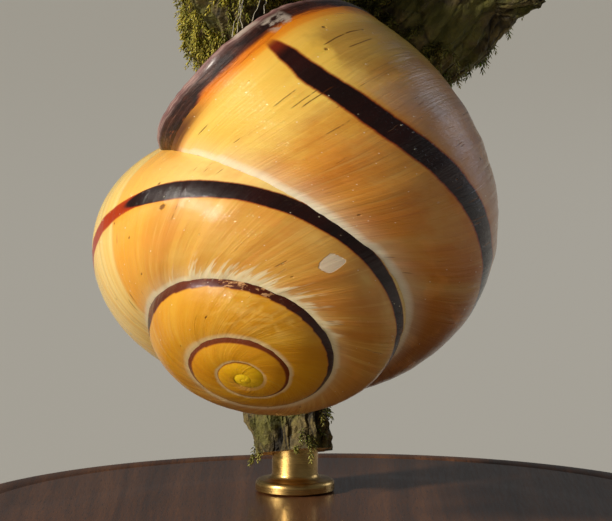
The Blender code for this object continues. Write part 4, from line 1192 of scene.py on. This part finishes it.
def cut_material():
    m = Mat("sawn_wood")
    p = m.scaled(m.position(), 1000.0)
    pith = None
    for c in (stem_line[0], stem_line[-1], limb_line[-1]):
        d = m.length(m.offset(p, tuple(-1000.0 * float(v) for v in c)))
        pith = d if pith is None else m.mn(pith, d)
    n1, n2 = m.noise(p, 0.35, 2.0), m.noise(p, 6.0, 4.0, 0.7)
    ring = m.math("FRACT", m.mul(m.add(pith, m.mul(m.sub(n1, 0.5), 0.9)), 1.7))
    col = m.mix(m.step(ring, 0.30, 0.97), srgb(208, 178, 126), srgb(158, 120, 74))
    col = m.mix(m.mul(m.step(n2, 0.5, 0.7), 0.30), col, srgb(140, 104, 62))
    col = m.mix(m.step(pith, 2.2, 3.6, 0.0, 0.55), col, srgb(186, 152, 100))
    col = m.mix(m.step(pith, 0.32, 0.16), col, srgb(104, 70, 38))
    return m.set(color=col, rough=0.7, normal=m.bump(m.add(n2, m.mul(ring, 0.3)), 0.00006, 0.8))


bark.data.materials.append(bark_material())
bark.data.materials.append(cut_material())

# ================================================================== moss
def moss(name, count, where, seed, greens):
    """Leafy shoots rooted on the bark; `where(points, normals)` gives the chance of a shoot at each point."""
    r_ = np.random.default_rng(seed)
    tri = bark.data
    tri.calc_loop_triangles()
    ids = np.empty(len(tri.loop_triangles) * 3, np.int32)
    tri.loop_triangles.foreach_get("vertices", ids)
    ids = ids.reshape(-1, 3)
    mats = np.empty(len(tri.loop_triangles), np.int32)
    tri.loop_triangles.foreach_get("material_index", mats)
    ids = ids[mats == 0]
    cc, nn = coords(bark), normals(bark)
    a, b, c_ = cc[ids[:, 0]], cc[ids[:, 1]], cc[ids[:, 2]]
    area = np.linalg.norm(np.cross(b - a, c_ - a), axis=1)
    mid = (a + b + c_) / 3
    nm = nn[ids].mean(axis=1)
    nm /= np.linalg.norm(nm, axis=1)[:, None] + 1e-9
    w = area * where(mid, nm)
    w /= w.sum()
    pick = r_.choice(len(ids), size=count, p=w)
    k1, k2 = r_.random(count), r_.random(count)
    fl = k1 + k2 > 1
    k1[fl], k2[fl] = 1 - k1[fl], 1 - k2[fl]
    root = a[pick] + (b - a)[pick] * k1[:, None] + (c_ - a)[pick] * k2[:, None]
    rn = nm[pick]
    _, k, s_, arc, ang, _ = on_branch(root)
    lines = (stem_line, limb_line, spur_line)
    tang = np.zeros((count, 3))
    for q in range(3):
        tg = np.gradient(lines[q], axis=0)
        tg /= np.linalg.norm(tg, axis=1)[:, None]
        sel = k == q
        tang[sel] = tg[np.clip((s_[sel] * (len(lines[q]) - 1)).astype(int), 0, len(lines[q]) - 1)]
    down = -tang * 0.8 + np.array([0, 0, -0.45])
    down -= rn * (down * rn).sum(1)[:, None]
    down /= np.linalg.norm(down, axis=1)[:, None] + 1e-9
    sidew = np.cross(rn, down)
    spread = r_.normal(0, 0.55, count)
    lie = r_.uniform(0.25, 0.85, count)
    d0 = down * np.cos(spread)[:, None] + sidew * np.sin(spread)[:, None]
    d0 = d0 * (1 - lie[:, None] * 0.5) + rn * (0.28 + 0.5 * lie[:, None])
    d0 /= np.linalg.norm(d0, axis=1)[:, None]
    bend = down * 0.5 + rn * r_.uniform(-0.5, 0.2, count)[:, None] + r_.normal(0, 0.18, (count, 3))
    length = r_.uniform(0.50, 1.0, count) * np.clip(r_.normal(1, 0.15, count), 0.6, 1.3)
    leaves = 15
    V, F, UV, TINT, TIP_ = [], [], [], [], []
    for i in range(count):
        u_ = np.linspace(0.0, 1.0, leaves)
        line = root[i] - rn[i] * 0.05 * MM + (d0[i][None, :] * u_[:, None] + bend[i][None, :] * (u_ ** 2)[:, None] * 0.45) * length[i] * MM
        tg = np.gradient(line, axis=0)
        tg /= np.linalg.norm(tg, axis=1)[:, None] + 1e-12
        s1 = np.cross(tg, rn[i])
        s1 /= np.linalg.norm(s1, axis=1)[:, None] + 1e-12
        s2 = np.cross(tg, s1)
        turn_ = np.arange(leaves) * 2.399 + r_.uniform(0, 6.28)
        rad = s1 * np.cos(turn_)[:, None] + s2 * np.sin(turn_)[:, None]
        open_ = (0.75 - 0.35 * u_)[:, None]
        ld = tg * (1 - open_ * 0.35) + rad * open_
        ld /= np.linalg.norm(ld, axis=1)[:, None]
        ll = (0.36 * (0.55 + 0.45 * np.sin(pi * np.clip(u_ * 0.85 + 0.12, 0, 1))) * r_.uniform(0.8, 1.2, leaves))[:, None] * MM
        wd = np.cross(ld, rad)
        wd /= np.linalg.norm(wd, axis=1)[:, None] + 1e-12
        up = np.cross(wd, ld)
        ww = ll * 0.19
        base_ = line
        left = line + ld * ll * 0.42 + wd * ww + up * ll * 0.05
        right = line + ld * ll * 0.42 - wd * ww + up * ll * 0.05
        tip_ = line + ld * ll + up * ll * 0.10
        keel = line + ld * ll * 0.40 - up * ll * 0.07
        start = len(V) * leaves * 5
        V.append(np.stack([base_, left, right, tip_, keel], 1).reshape(-1, 3))
        o = start + np.arange(leaves)[:, None, None] * 5
        F.append((np.array([[0, 2, 3], [0, 3, 1], [0, 1, 4], [1, 3, 4], [3, 2, 4], [2, 0, 4]])[None] + o).reshape(-1, 3))
        # bake patch, 0.003 across, at the root's place on the unwrapped bark
        uc = np.array([0.01, 0.56, 0.88])[k[i]] + np.array([0.50, 0.28, 0.10])[k[i]] * (ang[i] + 2 * pi) / (4 * pi)
        vc = 0.01 + 0.98 * np.clip((arc[i] - 40.0 * k[i]) / np.array([45.0, 20.0, 8.0])[k[i]], 0, 1)
        loc = np.stack([0.0013 * np.cos(turn_), 0.0013 * (u_ * 2 - 1)], -1)
        UV.append(np.clip(np.array([uc, vc]) + np.repeat(loc, 5, axis=0), 0.001, 0.999))
        TINT.append(np.full(leaves * 5, r_.random()))
        TIP_.append(np.repeat(u_, 5) * 0.7 + np.tile([0, 0.1, 0.1, 0.3, 0.0], leaves))
    V, F, UV = np.concatenate(V), np.concatenate(F), np.concatenate(UV)
    ob = mesh_object(name, V, F, smooth_shade=False)
    add_attribute(ob, "tint", np.concatenate(TINT))
    add_attribute(ob, "tipness", np.concatenate(TIP_))
    set_uv(ob, UV[loop_vertices(ob)])
    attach(ob, "root")
    m = Mat(name + "_leaf")
    tint, tip_a = m.attr("tint"), m.attr("tipness")
    col = m.ramp(tint, [(0.0, greens[0]), (0.4, greens[1]), (0.75, greens[2]), (1.0, greens[3])])
    col = m.mix(m.step(tip_a, 0.35, 1.0), m.mix(0.55, col, srgb(44, 40, 12)), m.mix(0.30, col, srgb(206, 200, 92)))
    ob.data.materials.append(m.set(color=col, rough=0.5, sub=0.15, sub_radius=(0.5, 1.0, 0.2), sub_scale=0.0004, spec=0.4))
    return ob


def moss_on_stem(p, n):
    _, k, s_, arc, ang, _ = on_branch(p)
    patch = fbm(p / MM * 0.33, 3, 101)
    want = smooth((patch + 0.28) / 0.35)
    left = smooth((-(n @ np.array([1.0, 0, 0])) + 0.6) / 1.0)
    high = smooth((s_ - 0.42) / 0.25)
    near = np.array([hull.find_nearest(Vector(q))[3] for q in p[:: 1]]) if len(p) < 400000 else np.ones(len(p))
    clear = smooth((near / MM - 0.05) / 0.5)
    return np.where(k == 0, want * (0.25 + 0.75 * left) * (0.03 + 0.97 * high) * smooth((s_ - 0.10) / 0.06), 0.0) * clear + 1e-7


def moss_on_limb(p, n):
    _, k, s_, arc, ang, _ = on_branch(p)
    patch = fbm(p / MM * 0.4, 3, 111)
    up = smooth((n[:, 2] + 0.5) / 1.0)
    return np.where(k == 0, 0.22 * smooth((0.62 - s_) / 0.1), 1.0) * smooth((patch - 0.02) / 0.25) * (0.3 + 0.7 * up) + 1e-6


GREENS = (srgb(98, 86, 12), srgb(136, 122, 18), srgb(182, 162, 30), srgb(222, 200, 58))
DULL = (srgb(80, 78, 28), srgb(112, 108, 38), srgb(150, 140, 54), srgb(184, 168, 80))
moss_a = moss("moss_on_branch", 1550, moss_on_stem, 21, GREENS)
moss_b = moss("moss_on_side_limb", 900, moss_on_limb, 22, DULL)

# ================================================================== dried mucus between lip and branch
def mucus_threads():
    """Fine dried strands that run from the lip's edge to the moss where the resting snail has stuck itself down."""
    r_ = np.random.default_rng(77)
    cb_ = coords(bark)
    sides = 7
    V, F = [], []
    for ph0, slide in ((0.46, -1.1), (0.41, 0.2), (0.36, -0.5), (0.27, 0.6), (0.16, -0.3)):
        a = shell_point(T_LIP - lip_lag(ph0) - 0.08 / LIPM, ph0, 0.02, 0.5)
        near = cb_[np.argmin(np.linalg.norm(cb_ - (a + np.array([slide, 0, 0]) * MM), axis=1))]
        gap = np.linalg.norm(near - a) / MM
        if gap > 4.5:
            continue
        b = near
        sag = np.array([0, 0, -0.08 * MM]) + r_.normal(0, 0.04, 3) * MM
        u = np.linspace(0, 1, 18)[:, None]
        line = a + (b - a) * u + sag * 4 * u * (1 - u) + np.array([vnoise(st(u[:, 0] * 5, 0 * u[:, 0] + ph0 * 9, 0 * u[:, 0] + k), 5) for k in range(3)]).T * 0.13 * MM * np.sin(pi * u)
        tg = np.gradient(line, axis=0)
        tg /= np.linalg.norm(tg, axis=1)[:, None]
        s1 = np.cross(tg, np.array([0.3, 0.8, 0.5]))
        s1 /= np.linalg.norm(s1, axis=1)[:, None]
        s2 = np.cross(tg, s1)
        rad = (0.010 + 0.018 * (2 * u - 1) ** 4 + 0.005 * r_.random()) * MM
        w = np.linspace(0, 2 * pi, sides, endpoint=False)[None, :, None]
        ring = line[:, None, :] + rad[:, None] * (s1[:, None, :] * np.cos(w) + s2[:, None, :] * np.sin(w))
        start = sum(len(v) for v in V)
        V.append(ring.reshape(-1, 3))
        F.append(grid_faces(18, sides, wrap_m=True) + start)
    ob = mesh_object("dried_mucus_threads", np.concatenate(V), np.concatenate(F))
    n_t = len(V)
    base_uv = np.concatenate([np.stack([0.05 + 0.09 * i + 0.05 * np.tile(np.arange(sides) / sides, 18), 0.1 + 0.8 * np.repeat(np.linspace(0, 1, 18), sides)], -1) for i in range(n_t)])
    set_uv(ob, base_uv[loop_vertices(ob)])
    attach(ob, "root")
    m = Mat("dried_mucus")
    n1 = m.noise(m.scaled(m.position(), 1000.0), 6.0, 3.0, 0.6)
    m_out = m.set(color=m.mix(n1, srgb(166, 152, 126), srgb(214, 204, 182)), rough=m.step(n1, 0.3, 0.7, 0.15, 0.4), sub=0.4, sub_radius=(1, 0.9, 0.7), sub_scale=0.0003, spec=0.5)
    ob.data.materials.append(m_out)
    return ob


mucus_threads()

# ================================================================== the display stand
def turned(name, profile, middle, sides):
    prof = np.array(profile)
    a = np.linspace(0, 2 * pi, sides, endpoint=False)
    pts = np.stack([middle[0] + prof[:, :1] * np.cos(a)[None, :], middle[1] + prof[:, :1] * np.sin(a)[None, :], np.broadcast_to(prof[:, 1:2], (len(prof), sides))], -1) * MM
    ob = mesh_object(name, pts.reshape(-1, 3), grid_faces(len(prof), sides, wrap_m=True))
    ob.data.set_sharp_from_angle(angle=radians(50))
    uu, vv = np.meshgrid(np.linspace(0.02, 0.98, len(prof)), a / (2 * pi), indexing="ij")
    lv_ = loop_vertices(ob)
    x, y = pts.reshape(-1, 3)[:, 0], pts.reshape(-1, 3)[:, 1]
    rr = np.concatenate([[0], np.cumsum(np.linalg.norm(np.diff(prof, axis=0), axis=1))])
    rr = rr / rr[-1] * 0.48
    U = 0.5 + rr[:, None] * np.cos(a)[None, :]
    V_ = 0.5 + rr[:, None] * np.sin(a)[None, :]
    set_uv(ob, np.stack([U.ravel()[lv_], V_.ravel()[lv_]], -1))
    return ob


def arc_points(cx, cz, r_, a0, a1, n):
    return [(cx + r_ * cos(a0 + (a1 - a0) * i / n), cz + r_ * sin(a0 + (a1 - a0) * i / n)) for i in range(n + 1)]


R, H = BASE_RADIUS, BASE_HEIGHT
rod_x, rod_y = stem_line[0][0] / MM, stem_line[0][1] / MM
profile = [(0.0001, 0.0), (8, 0.0), (R - 0.6, 0.0)] + arc_points(R - 0.4, 0.4, 0.4, -pi / 2, 0, 5) + [(R, 1.2)]
profile += [(R - 0.12, 1.32), (R - 0.12, 1.42), (R, 1.54)]
profile += arc_points(R - 1.1, H - 1.1, 1.1, 0, pi / 2, 12)
profile += [(R - 2.2, H), (R - 2.32, H - 0.10), (R - 2.52, H - 0.10), (R - 2.64, H), (12, H), (6, H), (0.0001, H)]
base = turned("display_base", profile, (0.0, 0.0), 192)
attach(base, "root")
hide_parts("stand_base")


def wood_material():
    m = Mat("dark_wood")
    p = m.scaled(m.position(), 1000.0)
    x, y, zc = m.separate(p)
    bent = m.xyz(m.add(x, 60.0), m.mul(y, 0.06), m.mul(zc, 1.0))
    warp = m.noise(bent, 0.10, 3.0, 0.5)
    out_ = m.add(m.length(m.xyz(m.add(x, 60.0), 0.0, m.add(zc, 18.0))), m.mul(warp, 7.0))
    rings = m.noise(m.xyz(m.mul(out_, 0.75), m.mul(y, 0.012), 3.0), 1.0, 5.0, 0.62)
    fibre = m.noise(m.xyz(m.mul(x, 6.0), m.mul(y, 0.35), m.mul(zc, 6.0)), 1.0, 4.0, 0.65)
    pore = m.noise(m.xyz(m.mul(x, 14.0), m.mul(y, 1.0), m.mul(zc, 14.0)), 1.0, 2.0, 0.5)
    col = m.ramp(m.add(m.mul(rings, 0.75), m.mul(fibre, 0.35)), [(0.36, srgb(62, 37, 22)), (0.50, srgb(84, 52, 31)), (0.60, srgb(100, 63, 38)), (0.74, srgb(120, 78, 47))])
    col = m.mix(m.mul(m.step(pore, 0.62, 0.74), 0.7), col, srgb(30, 18, 11))
    h = m.add(m.mul(fibre, 0.5), m.mul(m.step(pore, 0.60, 0.72), -0.7))
    return m.set(color=col, rough=m.step(fibre, 0.3, 0.7, 0.34, 0.48), normal=m.bump(h, 0.00006, 0.6), coat=0.35, coat_rough=0.18)


base.data.materials.append(wood_material())

rod_top = 8.35
collar_r = 2.15
rod_profile = [(0.0001, 1.5), (ROD_RADIUS, 1.5), (ROD_RADIUS, H + 0.001), (collar_r - 0.15, H + 0.001), (collar_r, H + 0.12), (collar_r, H + 0.42)]
rod_profile += arc_points(collar_r - 0.28, H + 0.42, 0.28, 0, pi / 2, 6) + [(ROD_RADIUS + 0.25, H + 0.72), (ROD_RADIUS + 0.06, H + 0.86), (ROD_RADIUS, H + 1.0), (ROD_RADIUS, rod_top), (0.0001, rod_top)]
rod = turned("display_rod", rod_profile, (rod_x, rod_y), 72)
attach(rod, "root")
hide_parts("stand_rod")
mb = Mat("satin_brass")
pb = mb.scaled(mb.position(), 1000.0)
bx, by, bz = mb.separate(pb)
turn_marks = mb.noise(mb.xyz(0.0, 0.0, mb.mul(bz, 30.0)), 1.0, 3.0, 0.6)
stain = mb.noise(pb, 0.8, 4.0, 0.6)
brass = mb.mix(mb.step(stain, 0.4, 0.7), srgb(206, 170, 104), srgb(168, 130, 72))
rod.data.materials.append(mb.set(color=brass, metal=1.0, rough=mb.step(turn_marks, 0.3, 0.7, 0.22, 0.38), normal=mb.bump(turn_marks, 0.00001, 0.5)))

# ================================================================== floor, light and camera
floor = mesh_object("floor", [(-12, -12, 0), (12, -12, 0), (12, 12, 0), (-12, 12, 0)], [(0, 1, 2, 3)], smooth_shade=False)
mf = Mat("pale_floor")
floor.data.materials.append(mf.set(color=srgb(206, 204, 197), rough=0.8))


def area_light(name, at, aim, size, power, colour):
    li = bpy.data.lights.new(name, "AREA")
    li.shape, li.size, li.energy, li.color = "DISK", size, power, colour
    ob = bpy.data.objects.new(name, li)
    bpy.context.scene.collection.objects.link(ob)
    ob.location = at
    ob.rotation_euler = (Vector(aim) - Vector(at)).to_track_quat("-Z", "Y").to_euler()
    return ob


def sun_light(name, towards, strength, angle, colour):
    """Parallel light; `towards` points from the object to the light, in the view's right, up and towards-the-viewer."""
    li = bpy.data.lights.new(name, "SUN")
    li.energy, li.angle, li.color = strength, radians(angle), colour
    ob = bpy.data.objects.new(name, li)
    bpy.context.scene.collection.objects.link(ob)
    d = Vector(to_world(np.array(towards, float)) - to_world(np.zeros(3)))
    ob.rotation_euler = d.to_track_quat("Z", "Y").to_euler()
    ob.location = Vector((0, 0, 0.02)) + d.normalized() * 0.5
    return ob


aim = (-0.001, -0.004, 0.018)
sun_light("key", (-0.77, 0.38, 0.52), 3.50, 7.5, (1.0, 0.94, 0.84))
area_light("fill", (-0.32, -0.26, 0.00), aim, 0.24, 0.54, (1.0, 0.93, 0.82))
area_light("back", (0.34, 0.20, 0.16), aim, 0.20, 0.18, (0.80, 0.86, 1.0))
world = bpy.data.worlds.new("studio")
bpy.context.scene.world = world
world.use_nodes = True
bg = world.node_tree.nodes["Background"]
bg.inputs[0].default_value = (0.86, 0.88, 0.88, 1.0)
bg.inputs[1].default_value = 0.11

cam = bpy.data.cameras.new("photo_view")
cam.sensor_width, cam.lens = 36.0, 214.1
cam.clip_start, cam.clip_end = 0.01, 20.0
cam_ob = bpy.data.objects.new("photo_view", cam)
bpy.context.scene.collection.objects.link(cam_ob)
cam_ob.location = Vector(to_world(np.array([0.0, 0.0, 178.757])))
cam_ob.rotation_euler = (pi / 2 - VIEW_RISE, 0, 0)
bpy.context.scene.camera = cam_ob
bpy.context.scene.view_settings.view_transform = "Standard"

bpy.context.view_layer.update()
